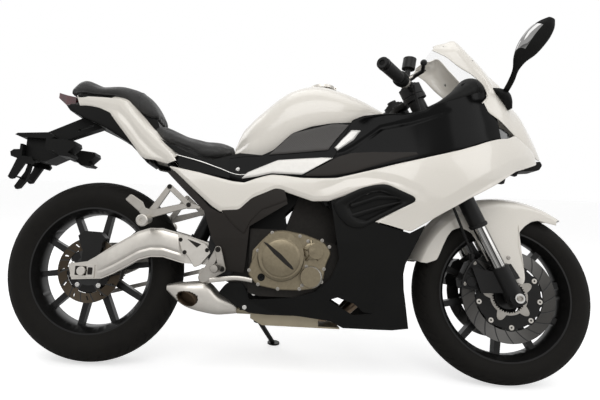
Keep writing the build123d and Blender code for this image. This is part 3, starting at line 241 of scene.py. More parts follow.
def ribbed_trim():
    """Dark grained plastic with fine slanting ribs."""
    finish = Finish("ribbed_trim")
    x, y, z = finish.bike(turn=38)
    ribs = (z * 1350).math("SINE").step(-0.4, 0.8)
    worn = finish.noise(6, 3)
    color = finish.mix(worn, (0.026, 0.0235, 0.021), (0.045, 0.040, 0.036))
    return finish.surface(color=color, rough=ribs * 0.08 + 0.42,
                          normal=finish.bump(ribs + finish.noise(900, 2) * 0.3, 0.0004))


def clear_sheet():
    """A nearly clear sheet with a slight haze."""
    finish = Finish("clear_screen")
    haze = finish.noise(9, 3)
    return finish.surface(color=finish.mix(haze, (0.92, 0.93, 0.93), (0.97, 0.975, 0.975)),
                          rough=haze * 0.03 + 0.02, alpha=haze * 0.02 + 0.05, ior=1.45, specular=0.8)


def lens(name, low, high):
    """A moulded lens with fine flutes."""
    finish = Finish(name)
    x, y, z = finish.bike()
    flutes = (y * 900).math("SINE")
    return finish.surface(color=finish.mix(flutes * 0.5 + 0.5, low, high), rough=flutes * 0.02 + 0.09,
                          coat=1.0, coat_rough=0.03, normal=finish.bump(flutes, 0.0002))


def looking_glass():
    """Mirror glass with a slow haze."""
    finish = Finish("mirror_glass")
    haze = finish.noise(14, 3)
    return finish.surface(color=finish.mix(haze, (0.24, 0.238, 0.235), (0.34, 0.335, 0.33)),
                          rough=haze * 0.04 + 0.03, metal=1.0)


def chrome_painted_reflections():
    """Hard chrome with fine bright and dark lines along the fork, which are painted reflections in its
    colour.
    """
    finish = Finish("chrome_painted_reflections")
    x, y, z = finish.bike(FRONT_AXLE)
    across = x * math.cos(RAKE) + z * math.sin(RAKE)
    # painted reflections: bright and dark stripes along the fork's axis
    lines = finish.lines(across, 190, 1).step(0.42, 0.58)
    return finish.surface(color=finish.mix(lines, (0.045, 0.044, 0.042), (0.60, 0.59, 0.57)),
                          rough=lines * 0.04 + 0.06, metal=lines * 0.2 + 0.8)


WHITE = pearl_white()
GLOSS_BLACK = plastic("gloss_black", (0.0025, 0.0025, 0.0025), (0.004, 0.004, 0.004), 0.06, 90, 0.00002, 0.07)
SATIN_BLACK = plastic("satin_black", (0.0055, 0.0055, 0.0052), (0.010, 0.010, 0.0095), 0.34, 650, 0.0001,
                      0.10)
DARK_GREY = plastic("dark_grey", (0.019, 0.0165, 0.0145), (0.030, 0.026, 0.023), 0.40, 800, 0.00014, 0.14)
BLACK_METAL = metal("black_metal", (0.006, 0.006, 0.006), (0.012, 0.0115, 0.011), 0.30, metallic=0.0,
                    specular=0.2)
WHEEL_BLACK = metal("wheel_black", (0.005, 0.005, 0.005), (0.009, 0.0085, 0.008), 0.24, 300, 0.00004, 0.0,
                    specular=0.3)
SILVER = metal("satin_silver", (0.50, 0.475, 0.435), (0.60, 0.573, 0.53), 0.30, 420, 0.0001)
SILVER_PAINT = metal("silver_trim", (0.60, 0.585, 0.555), (0.70, 0.68, 0.645), 0.32, 700, 0.00005, 0.35)
INSERT = metal("insert_silver", (0.34, 0.335, 0.32), (0.46, 0.45, 0.43), 0.22, 700, 0.00005, 0.8)
BRIGHT = metal("bright_steel", (0.55, 0.54, 0.52), (0.68, 0.67, 0.65), 0.16, 300)
ZINC = metal("zinc_steel", (0.30, 0.28, 0.25), (0.42, 0.40, 0.37), 0.34, 300)
CHROME = chrome_painted_reflections()
CAST_DARK = metal("cast_dark", (0.010, 0.009, 0.008), (0.024, 0.021, 0.018), 0.44, 900, 0.0003, 0.4,
                  specular=0.25)
BRONZE = metal("bronze_cases", (0.165, 0.138, 0.092), (0.25, 0.212, 0.145), 0.24, 900, 0.00018, 0.85)
SPECKLED = metal("speckled_cast", (0.18, 0.17, 0.15), (0.42, 0.40, 0.36), 0.34, 1500, 0.0003, 0.7)
BEIGE = metal("beige_steel", (0.27, 0.235, 0.165), (0.36, 0.315, 0.23), 0.36, 240, 0.0001, 0.7)
HEAT_BROWN = metal("heat_brown", (0.15, 0.105, 0.07), (0.30, 0.23, 0.165), 0.30, 120, 0.0001)
SOOT_BROWN = metal("soot_brown", (0.035, 0.024, 0.015), (0.085, 0.062, 0.042), 0.46, 140, 0.00015)
RUBBER = plastic("rubber", (0.007, 0.007, 0.007), (0.014, 0.0135, 0.013), 0.5, 500, 0.0002)
VINYL = vinyl()
RIBBED = ribbed_trim()
CLEAR = clear_sheet()
RED_LENS = lens("red_lens", (0.045, 0.003, 0.005), (0.08, 0.006, 0.009))
DARK_LENS = lens("dark_lens", (0.020, 0.021, 0.023), (0.06, 0.062, 0.066))
MIRROR_GLASS = looking_glass()
FRONT_RUBBER = tyre_rubber("front_tyre_rubber", FRONT_AXLE)
REAR_RUBBER = tyre_rubber("rear_tyre_rubber", REAR_AXLE)
FRONT_STEEL = ground_disc("front_disc_steel", FRONT_AXLE, (0.050, 0.048, 0.045), (0.17, 0.165, 0.158), 108,
                          20, -17)
REAR_STEEL = ground_disc("rear_disc_steel", REAR_AXLE, (0.042, 0.032, 0.022), (0.095, 0.076, 0.056), 72, 15,
                         -10)

# each finish with the CAD nodes that have it
NODE_FINISH = (
    (FRONT_RUBBER, "front_tyre"),
    (REAR_RUBBER, "rear_tyre"),
    (WHEEL_BLACK, "front_rim rear_rim"),
    (FRONT_STEEL, "front_discs"),
    (REAR_STEEL, "rear_disc"),
    (ZINC, "rear_sprocket drive_chain"),
    (BLACK_METAL, "fork_clamps fork_outer_tubes fork_bottoms front_calipers hand_levers rear_caliper "
                  "rear_shock main_frame rear_subframe fairing_stay side_stand"),
    (CHROME, "fork_inner_tubes"),
    (RUBBER, "handlebars front_brake_hose"),
    (WHITE, "front_fender side_fairings fuel_tank tail_cowl nose_cowl"),
    (BRIGHT, "front_axle"),
    (SILVER, "swingarm rear_axle exhaust_tip rearsets pillion_footrests fuel_cap"),
    (CAST_DARK, "engine_block"),
    (BRONZE, "engine_covers"),
    (SATIN_BLACK, "radiator belly_pan fairing_vents seat_side_panels rear_fender dashboard mirrors"),
    (HEAT_BROWN, "exhaust_header"),
    (BEIGE, "exhaust_box"),
    (GLOSS_BLACK, "upper_fairings"),
    (RIBBED, "tank_trims"),
    (DARK_GREY, "frame_covers"),
    (VINYL, "rider_seat pillion_seat"),
    (RED_LENS, "tail_lamp"),
    (CLEAR, "windscreen"),
    (DARK_LENS, "headlight"))
BODIES = {node: body for body, members in frame["record"]["behaviour"]["bodies"].items() for node in members}
for material, nodes in NODE_FINISH:
    for node in nodes.split():
        shown = frame["nodes"][node].data
        shown.materials.clear()
        shown.materials.append(material)


# ---------------- mesh makers
SOFT_ANGLE = 32


def linked(name, data):
    """A new object in the scene."""
    piece = bpy.data.objects.new(name, data)
    bpy.context.scene.collection.objects.link(piece)
    return piece


def entered(name, data, node, body, stands=True):
    """An object that rides on a body and, where it stands for a CAD node, is shown in that node's place."""
    piece = linked(name, data)
    if stands:
        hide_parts(node)
    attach(piece, body)
    return piece


def shaded(mesh, material, angle):
    """A mesh in one material, smooth but for edges that turn by more than an angle in degrees."""
    mesh.materials.append(material)
    mesh.shade_smooth()
    mesh.set_sharp_from_angle(angle=math.radians(angle))
    return mesh


def detail(name, part, material, node, body="chassis", stands=False, smooth=40):
    """A piece from a part, which is a pair of bike frame points and faces, that rides on a body."""
    points, faces = part
    mesh = bpy.data.meshes.new(name)
    mesh.from_pydata(placed(points).tolist(), [], faces)
    return entered(name, shaded(mesh, material, smooth), node, body, stands)


def cover(name, part, material, node, body="chassis", smooth=40):
    """A piece that stands for its CAD node."""
    return detail(name, part, material, node, body, True, smooth)


def softened(node, width):
    """A merged copy of a CAD node, its edges rounded by a live Bevel of so many millimetres, shown in
    its place."""
    source = frame["nodes"][node].data
    work = bmesh.new()
    work.from_mesh(source)
    bmesh.ops.remove_doubles(work, verts=work.verts, dist=0.00002)
    bmesh.ops.dissolve_limit(work, angle_limit=math.radians(0.8), verts=work.verts, edges=work.edges)
    mesh = bpy.data.meshes.new(node + "_soft")
    work.to_mesh(mesh)
    work.free()
    piece = entered(node + "_soft", shaded(mesh, source.materials[0], SOFT_ANGLE), node, BODIES[node])
    bevel = piece.modifiers.new("round edges", "BEVEL")
    bevel.width, bevel.segments, bevel.angle_limit = width / 1000, 2, math.radians(SOFT_ANGLE)
    bevel.harden_normals = True


def hermite(t, before, slope, after, next_slope):
    """The cubic from one value at t = 0 to the next at t = 1 with the given slopes there."""
    return ((2 * t ** 3 - 3 * t ** 2 + 1) * before + (t ** 3 - 2 * t ** 2 + t) * slope
            + (3 * t ** 2 - 2 * t ** 3) * after + (t ** 3 - t ** 2) * next_slope)


def through(knots, values, at):
    """A cubic through values at rising knots: each piece is Hermite, its slopes the mean of the chords
    beside it."""
    knots, values, at = np.asarray(knots, float), np.asarray(values, float), np.asarray(at, float)
    slopes = np.gradient(values, knots, axis=0)
    k = np.clip(np.searchsorted(knots, at, side="right") - 1, 0, len(knots) - 2)
    wide = (-1,) + (1,) * (values.ndim - 1)
    span = (knots[k + 1] - knots[k]).reshape(wide)
    t = ((at - knots[k]) / span.reshape(-1)).reshape(wide)
    return hermite(t, values[k], span * slopes[k], values[k + 1], span * slopes[k + 1])


def route(path):
    """The way gone along a path at each of its points."""
    return np.concatenate([[0], np.cumsum(norm(np.diff(path, axis=0), axis=1))])


def even_angles(steps):
    """Angles of even steps round one turn."""
    return np.arange(steps) * 2 * np.pi / steps


def stacked(x, y, z):
    """Points from their coordinates, each spread over the others' shape."""
    return np.stack(np.broadcast_arrays(x, y, z), -1)


def about(centre, angle, radius, y):
    """Points at an angle and a radius about a line across the bike, y mm from the centre."""
    return stacked(centre[0] + radius * np.cos(angle), centre[1] + y, centre[2] + radius * np.sin(angle))


def squarish(angle, power):
    """The cosine and sine of an angle, both raised to 2 / power with their signs kept."""
    return (np.sign(f(angle)) * np.abs(f(angle)) ** (2 / power) for f in (np.cos, np.sin))


def grid_faces(rows, columns, closed=False):
    """Quads of a grid whose vertex (i, j) is number i * columns + j, round every row and, where closed,
    every column."""
    i = np.arange(rows if closed else rows - 1)[:, None]
    j = np.arange(columns)[None, :]
    i2, j2 = (i + 1) % rows, (j + 1) % columns
    corners = i * columns + j, i * columns + j2, i2 * columns + j2, i2 * columns + j
    return np.stack(np.broadcast_arrays(*corners), -1).reshape(-1, 4).tolist()


def volume(points, faces):
    """Six times the signed volume inside the faces, by the sum of corner products."""
    p = np.asarray(points)
    total = 0.0
    for size in {len(face) for face in faces}:
        ring = np.array([face for face in faces if len(face) == size])
        for k in range(1, size - 1):
            total += np.einsum("ij,ij->i", p[ring[:, 0]], np.cross(p[ring[:, k]], p[ring[:, k + 1]])).sum()
    return total


def outward(points, faces):
    """The faces, turned round if they point into the closed form."""
    return faces if volume(points, faces) > 0 else [face[::-1] for face in faces]


def wrapped(grid):
    """Points and outward faces of a grid that is closed both ways."""
    points = grid.reshape(-1, 3)
    return points, outward(points, grid_faces(*grid.shape[:2], closed=True))


def closed_tube(rings):
    """Points and outward faces of closed rings joined in order, each end drawn in to a point by a
    smaller ring."""
    rings = np.asarray(rings, float)
    first, last = rings[0].mean(0), rings[-1].mean(0)
    rings = np.concatenate([[first + (rings[0] - first) * 0.5], rings, [last + (rings[-1] - last) * 0.5]])
    rows, columns = rings.shape[:2]
    points = np.concatenate([rings.reshape(-1, 3), [first, last]])
    faces = grid_faces(rows, columns)
    tip, end = rows * columns, (rows - 1) * columns
    for j in range(columns):
        faces.append([tip, (j + 1) % columns, j])
    for j in range(columns):
        faces.append([tip + 1, end + j, end + (j + 1) % columns])
    return points, outward(points, faces)


def turned(profile, centre, axis, steps):
    """A ring: a closed profile of (radius, height along the axis) points carried round the axis. A
    radius of 0 is drawn as 0.01, so that no faces shrink to a line."""
    radius, height = np.asarray(profile, float).T[:, None, :, None]
    axis = np.array(axis, float) / norm(axis)
    u = np.cross(axis, (1, 0, 0) if abs(axis[0]) < 0.9 else (0, 0, 1))
    u /= norm(u)
    angle = even_angles(steps)[:, None]
    spoke = np.cos(angle) * u + np.sin(angle) * np.cross(axis, u)
    return wrapped(np.asarray(centre, float) + np.maximum(radius, 0.01) * spoke[:, None, :] + height * axis)


def joined(*parts):
    """Several (points, faces) pairs as one."""
    points, faces, start = [], [], 0
    for p, f in parts:
        points.append(np.asarray(p).reshape(-1, 3))
        faces += [[v + start for v in face] for face in f]
        start += len(points[-1])
    return np.concatenate(points), faces


def mirrored(part):
    """A part on the other side of the bike."""
    points, faces = part
    return np.asarray(points).reshape(-1, 3) * [1, -1, 1], [face[::-1] for face in faces]


def twins(*parts):
    """Parts and their mirror images as one."""
    left = joined(*parts)
    return joined(left, mirrored(left))


def normals_along(path):
    """Two unit normals at each point of a path, by turning one as little as each step needs."""
    tangent = np.gradient(path, axis=0)
    tangent /= norm(tangent, axis=1)[:, None]
    side = np.cross(tangent[0], (0.31, 0.87, 0.38))
    normals = []
    for t in tangent:
        side = side - t * np.dot(side, t)
        side /= norm(side)
        normals.append(side)
    normals = np.array(normals)
    return normals, np.cross(tangent, normals)


def rope(path, radius, steps, count):
    """A round bar of a radius, or one for each point, along a smooth path through the points, in count
    rings."""
    path = np.asarray(path, float)
    way = route(path)
    at = np.linspace(0, way[-1], count)
    radius = through(way, np.broadcast_to(radius, len(path)), at)[:, None, None]
    path = through(way, path, at)
    a, b = normals_along(path)
    angle = even_angles(steps)[None, :, None]
    return closed_tube(path[:, None] + (np.cos(angle) * a[:, None] + np.sin(angle) * b[:, None]) * radius)


def bolt(centre, axis, radius, height, washer):
    """A socket head: a ring of 12 sides with a sunk middle and, with a washer, a wide thin foot."""
    foot = [(1, 0.25), (washer / radius, 0.2), (washer / radius, 0)] if washer else [(1, 0)]
    shares = [(0, 0.35), (0.5, 0.35), (0.55, 0.92), (0.62, 1), (0.88, 1), (1, 0.86), *foot, (0, 0)]
    return turned([(a * radius, b * height) for a, b in shares], centre, axis, 12)


def bolts(spots, axis, radius, height, washer=0.0):
    """The same bolt head at several spots."""
    return joined(*[bolt(spot, axis, radius, height, washer) for spot in spots])


# heights, then the half width at each of them for places x along the bike
SKIN = ((150, 260, 350, 440, 520, 600, 680, 760, 840, 920, 1010), {
    180: (100, 120, 130, 140, 145, 140, 132, 126, 118, 108, 98),
    260: (100, 120, 130, 140, 150, 150, 138, 130, 120, 110, 100),
    420: (100, 125, 145, 160, 168, 166, 155, 142, 130, 120, 110),
    560: (105, 135, 158, 175, 182, 180, 168, 155, 145, 135, 125),
    700: (108, 160, 174, 188, 195, 194, 182, 168, 158, 148, 138),
    820: (110, 164, 182, 196, 204, 206, 194, 178, 168, 158, 148),
    950: (110, 158, 182, 200, 212, 219, 206, 188, 175, 165, 155),
    1080: (100, 140, 170, 192, 208, 224, 218, 196, 180, 170, 160),
    1200: (90, 120, 150, 175, 195, 212, 216, 198, 180, 166, 152),
    1300: (70, 90, 120, 150, 172, 186, 194, 184, 165, 148, 132),
    1400: (50, 65, 90, 115, 125, 132, 142, 144, 126, 104, 90),
    1480: (30, 40, 60, 75, 80, 86, 92, 98, 80, 55, 40),
    1550: (12, 14, 18, 22, 26, 30, 36, 40, 22, 10, 8)})
TAIL = ((640, 700, 760, 820, 880, 960), {
    -200: (40, 46, 50, 54, 54, 46),
    -110: (60, 66, 70, 74, 74, 68),
    0: (78, 86, 92, 98, 98, 88),
    90: (92, 102, 110, 116, 114, 100),
    180: (112, 122, 126, 126, 120, 105),
    300: (134, 138, 134, 128, 120, 105)})
CREASE_FADE = 40.0


def half_width(x, z, skin=SKIN):
    """The bodywork's half width at (x, z): cubic up each row of the table, then cubic from row to row."""
    heights, table = skin
    x, z = np.asarray(x, float), np.asarray(z, float)
    places = np.array(sorted(table), float)
    flat_x = np.clip(x.reshape(-1), places[0], places[-1])
    flat_z = np.clip(z.reshape(-1), heights[0], heights[-1])
    rows = np.stack([through(heights, table[place], flat_z) for place in sorted(table)])
    slopes = np.gradient(rows, places, axis=0)
    k = np.clip(np.searchsorted(places, flat_x, side="right") - 1, 0, len(places) - 2)
    n = np.arange(len(flat_x))
    span = places[k + 1] - places[k]
    t = (flat_x - places[k]) / span
    width = hermite(t, rows[k, n], span * slopes[k, n], rows[k + 1, n], span * slopes[k + 1, n])
    return width.reshape(x.shape)


def evened(rows, way, count, soft):
    """Rows at even steps of the way, straight from each to the next, then rounded by soft passes of a
    1-2-1 mean."""
    at = np.linspace(0, way[-1], count)
    fine = np.stack([np.interp(at, way, column) for column in rows.T], -1)
    for k in range(soft):
        fine[1:-1] = (fine[:-2] + 2 * fine[1:-1] + fine[2:]) / 4
    return fine


def ladder(rungs, along, across, soft):
    """An (x, z) grid between two edges: each rung is (x, z) on the low edge, then (x, z) on the high
    edge."""
    rungs = np.asarray(rungs, float)
    moves = np.diff(rungs, axis=0)
    steps = np.maximum(norm(moves[:, :2], axis=1), norm(moves[:, 2:], axis=1))
    edges = evened(rungs, np.concatenate([[0], np.cumsum(steps)]), along, soft)
    v = np.concatenate([[0, 0.008, 0.02, 0.04], np.linspace(0.07, 0.93, across - 8), [0.96, 0.98, 0.992, 1]])
    v = v[None, :, None]
    return edges[:, None, :2] * (1 - v) + edges[:, None, 2:] * v


# how far out of and into the wall the three lines of a rounded lip lie, as shares of its thickness
LIP = ((0.3, 0.15), (0.42, 0.5), (0.3, 0.85))


def shell(grid, wall, inside):
    """A closed wall under an open grid of points. Its inner face lies one wall further towards the point
    inside, along the grid's normals, rounded lips join the two along the grid's long edges, and flat
    caps close its ends."""
    grid = np.asarray(grid, float)
    normal = np.cross(np.gradient(grid, axis=0), np.gradient(grid, axis=1))
    normal /= norm(normal, axis=-1)[..., None] + 1e-12
    if (normal * (grid - inside)).sum() < 0:
        normal = -normal
    inner = grid - normal * wall

    def lip(side, next_in):
        away = grid[:, side] - grid[:, next_in]
        away /= norm(away, axis=-1)[:, None] + 1e-9
        return [grid[:, side] + away * wall * out - normal[:, side] * wall * down for out, down in LIP]

    ring = np.concatenate([grid, np.stack(lip(-1, -2), 1), inner[:, ::-1], np.stack(lip(0, 1)[::-1], 1)], 1)
    rows, columns = ring.shape[:2]
    across = grid.shape[1]
    faces = grid_faces(rows, columns)
    j = np.arange(across - 1)
    back = 2 * across + 2 - j
    cap = np.stack([j, back, back - 1, j + 1], -1)
    end = (rows - 1) * columns
    faces += cap.tolist() + (cap[:, ::-1] + end).tolist()
    for lips in (list(range(across - 1, across + 4)), [*range(2 * across + 2, 2 * across + 6), 0]):
        faces += [lips[::-1], [v + end for v in lips]]
    points = ring.reshape(-1, 3)
    return points, outward(points, faces)


def side_grid(flat, lift=0.0, roll=2.0, skin=SKIN, facet=(0, 1), creases=()):
    """The left of the bodywork over an (x, z) grid: y is the half width plus a lift, drawn in by roll at
    the long edges and by facet = (depth, width) in a straight slope along the low edge. Each crease is
    (points, reach, depth): below a line through the points the surface sinks in a straight slope to
    depth at reach mm, then comes back over as much again."""
    x, z = flat[..., 0], flat[..., 1]
    from_low, from_high = norm(flat - flat[:, :1], axis=-1), norm(flat - flat[:, -1:], axis=-1)
    width = half_width(x, z, skin) + lift - roll * np.clip(1 - np.minimum(from_low, from_high) / 7, 0, 1) ** 2
    width = width - facet[0] * np.clip(1 - from_low / facet[1], 0, 1)
    for line, reach, depth in creases:
        line = np.asarray(line, float)
        below = np.interp(x, line[:, 0], line[:, 1]) - z
        fade = np.clip((x - line[0, 0]) / CREASE_FADE, 0, 1) * np.clip((line[-1, 0] - x) / CREASE_FADE, 0, 1)
        width = width - depth * fade * np.clip(below / reach, 0, 1) * np.clip(2 - below / reach, 0, 1)
    return stacked(x, width, z)


def panel(rungs, along, across, wall=3.0, soft=2, **how):
    """A wall of the left side over a ladder of rungs, and its right twin."""
    grid = side_grid(ladder(rungs, along, across, soft), **how)
    return twins(shell(grid, wall, (grid[..., 0].mean(), 0, grid[..., 2].mean())))


def plate(outline, y_low, y_high, corner, edge):
    """A flat plate across the bike from an (x, z) outline. Each corner becomes a quadratic curve between
    the points that lie corner mm from it along its two sides, and both rims are drawn in by edge."""
    spots = np.asarray(outline, float)
    back, ahead = np.roll(spots, 1, 0) - spots, np.roll(spots, -1, 0) - spots
    cuts = [spots + side * np.minimum(corner / norm(side, axis=1), 0.48)[:, None] for side in (back, ahead)]
    start, middle, end = cuts[0][:, None], spots[:, None], cuts[1][:, None]
    t = np.linspace(0, 1, 5)[None, :, None]
    rim = ((1 - t) ** 2 * start + 2 * t * (1 - t) * middle + t ** 2 * end).reshape(-1, 2)
    along = np.roll(rim, -1, 0) - np.roll(rim, 1, 0)
    inward = np.stack([-along[:, 1], along[:, 0]], -1) / (norm(along, axis=1)[:, None] + 1e-9)
    area = (rim[:, 0] * np.roll(rim[:, 1], -1) - rim[:, 1] * np.roll(rim[:, 0], -1)).sum()
    small = rim + inward * edge * np.sign(area)
    rings = [(small, y_low), (rim, y_low + edge), (rim, y_high - edge), (small, y_high)]
    points = np.concatenate([stacked(ring[:, 0], y, ring[:, 1]) for ring, y in rings])
    count = len(rim)
    faces = grid_faces(4, count)
    faces += [list(range(count))[::-1], list(range(3 * count, 4 * count))]
    return points, outward(points, faces)


def ovals(middles, deep, wide, power, steps):
    """Rings about middles: each point is middle + deep cos + wide sin, with cos and sin raised to 2 /
    power."""
    c, s = squarish(even_angles(steps)[None, :, None], power)
    middles, deep, wide = (np.asarray(a, float)[:, None, :] for a in (middles, deep, wide))
    return middles + deep * c + wide * s


def tapered(stations, count, power=2.0, steps=28):
    """A closed body through stations (middle, deep half axis, wide half axis), cubic between them."""
    net = np.array([np.concatenate(station) for station in stations], float)
    way = route(net[:, :3])
    fine = through(way, net, np.linspace(0, way[-1], count))
    return closed_tube(ovals(fine[:, :3], fine[:, 3:6], fine[:, 6:], power, steps))


def bar(start, end, wide, wide_end, y_low, y_high):
    """A flat bar with round ends across the bike between two (x, z) spots."""
    turn = math.atan2(end[1] - start[1], end[0] - start[0])
    outline = [(at[0] + size * math.cos(turn + a), at[1] + size * math.sin(turn + a))
               for at, size, first in ((end, wide_end, -90), (start, wide, 90))
               for a in np.radians(np.linspace(first, first + 180, 7))]
    return plate(outline, y_low, y_high, 0.13 * min(wide, wide_end), 1.5)


# ---------------- front brake hose
HOSE_POINTS = [
    (1065.44, -196.0, 963.4), (1084.16, -160.0, 927.99), (1115.79, -150.0, 841.23),
    (1143.55, -146.0, 743.84), (1188.82, -120.0, 632.55), (1232.9, -102.0, 542.76),
    (1267.01, -86.0, 464.88), (1285.3, -80.0, 430.38)]
line = bpy.data.curves.new("brake_hose", "CURVE")
line.dimensions, line.bevel_depth, line.bevel_resolution, line.use_fill_caps = "3D", 0.0045, 5, True
line.materials.append(RUBBER)
track = line.splines.new("NURBS")
track.points.add(len(HOSE_POINTS) - 1)
for point, spot in zip(track.points, placed(HOSE_POINTS)):
    point.co = (*spot, 1)
track.order_u, track.use_endpoint_u, track.resolution_u = 3, True, 12
hose = entered("brake_hose", line, "front_brake_hose", "steering")


# ---------------- bodywork
# low (x, z) and high (x, z) of the white side, from the tail's foot to the tongue under the belly
WHITE_RUNGS = [
    (268, 668, 266, 672.5), (300, 643, 298, 667), (360, 592, 366, 653), (421, 541, 430, 637),
    (451, 523, 483, 624), (510, 527, 524, 620), (551, 566, 560, 634), (590, 583, 585, 642),
    (626, 599, 612, 649), (645, 599, 650, 647), (700, 581, 709, 640), (746, 566, 765, 640),
    (799, 569, 818, 642), (850, 588, 865, 654), (901, 607, 940, 674), (958, 622, 1014, 695),
    (985, 612, 1080, 712), (1002, 604, 1140, 728), (1018, 597, 1208, 747), (1030, 591, 1260, 765),
    (1038, 587, 1305, 783), (1043, 585, 1350, 798), (1046, 583.5, 1390, 806), (1048, 582.5, 1425, 823),
    (1049, 582, 1470, 797), (1049.5, 580, 1510, 773), (1050, 577, 1523, 737), (1050, 574, 1470, 717),
    (1050, 572, 1418, 699), (1040, 566, 1370, 670), (1025, 558, 1326, 643), (1005, 548, 1280, 618),
    (985, 537, 1232, 593), (968, 527, 1180, 562), (955, 520, 1134, 535), (945, 515, 1090, 508),
    (940, 512, 1048, 482), (937, 510.5, 990, 497), (936, 510, 938, 509.5)]
BLACK_RUNGS = [
    (716, 645, 717, 646), (760, 645, 765, 680), (818, 645, 812, 714), (865, 657, 835, 765),
    (900, 667, 855, 806), (930, 675, 874, 845), (960, 683, 909, 861), (1000, 694, 964, 869),
    (1060, 709, 1043, 872), (1120, 726, 1108, 885), (1160, 737, 1152, 914), (1208, 750, 1195, 935),
    (1240, 760, 1231, 950), (1262, 769, 1244, 994), (1290, 780, 1280, 1005), (1305, 786, 1300, 1000),
    (1325, 792, 1331, 951), (1340, 796, 1340, 930), (1362, 798, 1362, 900)]
ARC_CREASE = [
    (745, 622), (800, 640), (850, 664), (900, 672), (950, 668), (1010, 655), (1070, 628), (1110, 598)]
TONGUE_CREASE = [(1120, 570), (1200, 622), (1300, 683), (1400, 735), (1500, 768)]
WHITE_CREASES = ((ARC_CREASE, 26, 3.5), (TONGUE_CREASE, 40, 5.0))
cover("white_sides", panel(WHITE_RUNGS, 420, 48, facet=(6, 15), creases=WHITE_CREASES), WHITE,
      "side_fairings")
UPPER_CREASE = [
    (700, 700), (770, 727), (846, 746), (876, 764), (909, 789), (942, 814), (965, 832), (1060, 856),
    (1200, 905)]
cover("black_sides", panel(BLACK_RUNGS, 260, 60, lift=-4.0, creases=((UPPER_CREASE, 14, 2.4),)),
      GLOSS_BLACK, "upper_fairings")
MATTE_RUNGS = [
    (724, 648, 722, 653), (760, 649, 762, 677), (800, 651, 800, 699), (837, 657, 830, 716),
    (876, 665, 869, 728), (942, 688, 935, 733), (1017, 712, 1007, 734), (1075, 728, 1070, 735)]
detail("matte_insets", panel(MATTE_RUNGS, 90, 20, wall=2.5, lift=-1.8, roll=1.2), DARK_GREY, "upper_fairings")

TANK_TOP = 1002.0
# x, then down from the tank's top: its crown, its widest line and half width, its lower edge and half width
TANK_ROWS = [
    (480, 232, 254, 58, 276, 66), (497, 184, 246, 70, 276, 80), (530, 142, 226, 98, 275, 106),
    (570, 102, 208, 116, 275, 114), (617, 59, 196, 130, 274, 118), (660, 27, 178, 140, 268, 120),
    (706, 7, 162, 146, 262, 120), (772, 0, 146, 152, 250, 122), (852, 22, 136, 150, 227, 122),
    (925, 55, 134, 138, 202, 112), (990, 94, 132, 116, 172, 95)]
CAP_X, CAP_RADIUS, CAP_WALL, CAP_SINK = 790.0, 30.0, 8.0, 24.0


def crown_rings(rows, along, steps=14):
    """Closed sections along x: over a quarter turn a from the crown to the widest line, y = half
    sin(a)^0.8 and z = wide + (top - wide) cos(a)^0.75, then straight sides that bulge by 3 mm, then a
    flat underside."""
    rows = np.asarray(rows, float)
    fine = through(rows[:, 0], rows, np.linspace(rows[0, 0], rows[-1, 0], along))
    x, top, wide, half, low, low_half = fine.T[:, :, None]
    a = np.linspace(0, np.pi / 2, steps)[None, :]
    s = np.linspace(0, 1, 8)[None, 1:]
    u = np.linspace(1, -1, 8)[None, 1:-1]
    crown = stacked(x, half * np.sin(a) ** 0.8, wide + (top - wide) * np.cos(a) ** 0.75)
    side = stacked(x, half + (low_half - half) * s + 3 * np.sin(np.pi * s), wide + (low - wide) * s)
    under = stacked(x, low_half * u, low)
    turn = [1, -1, 1]
    return np.concatenate([crown, side, under, side[:, ::-1] * turn, crown[:, :0:-1] * turn], 1)


tank_rings = crown_rings([(x, TANK_TOP - top, TANK_TOP - wide, half, TANK_TOP - low, low_half)
                          for x, top, wide, half, low, low_half in TANK_ROWS], 150)
from_cap = np.hypot(tank_rings[..., 0] - CAP_X, tank_rings[..., 1])
well = CAP_SINK * np.clip((CAP_RADIUS - from_cap) / CAP_WALL, 0, 1)
tank_rings[..., 2] -= np.where(tank_rings[..., 2] > 900, well, 0)
cover("tank_shell", closed_tube(tank_rings), WHITE, "fuel_tank")

# nose: for each row, the low outer edge (x, y, z), then at one x the (y, z) of five lines up to the centre
NOSE = [
    ((1162, 106, 1129), 1168, ((103, 1139), (99, 1142), (95, 1147), (50, 1160), (0, 1164))),
    ((1186, 109, 1115), 1191, ((103, 1138), (92, 1151), (78, 1163), (42, 1170), (0, 1172))),
    ((1210, 113, 1099), 1216, ((107, 1132), (94, 1152), (78, 1169), (42, 1179), (0, 1183))),
    ((1249, 119, 1061), 1250, ((115, 1115), (99, 1152), (77, 1178), (42, 1188), (0, 1191))),
    ((1290, 127, 1029), 1291, ((121, 1074), (105, 1108), (79, 1133), (42, 1145), (0, 1149))),
    ((1322, 132, 988), 1322, ((126, 1034), (109, 1068), (80, 1098), (42, 1111), (0, 1116))),
    ((1331, 134, 954), 1336, ((129, 1006), (111, 1046), (80, 1080), (42, 1094), (0, 1099))),
    ((1318, 136, 929), 1346, ((130, 985), (112, 1029), (80, 1069), (42, 1083), (0, 1088))),
    ((1306, 137.5, 921), 1354, ((130, 968), (112, 1013), (80, 1060), (42, 1074), (0, 1079))),
    ((1335, 138, 894), 1365, ((130, 940), (112, 992), (79, 1047), (42, 1062), (0, 1068))),
    ((1372, 134, 868), 1384, ((125, 922), (108, 973), (79, 1028), (42, 1043), (0, 1049))),
    ((1404, 122, 843), 1404, ((118, 905), (104, 952), (78, 1006), (42, 1020), (0, 1026))),
    ((1436, 106, 820), 1436, ((103, 870), (90, 914), (64, 954), (30, 971), (0, 975))),
    ((1475, 86, 797), 1475, ((86, 838), (76, 878), (52, 913), (24, 929), (0, 933))),
    ((1510, 62, 776), 1510, ((62, 806), (55, 834), (38, 862), (18, 879), (0, 884))),
    ((1540, 36, 762), 1540, ((37, 782), (33, 798), (24, 812), (12, 820), (0, 822))),
    ((1562, 12, 764), 1562, ((13, 769), (12, 774), (9, 779), (5, 782), (0, 783)))]
PER_ROW, PER_LINE = 7, 6


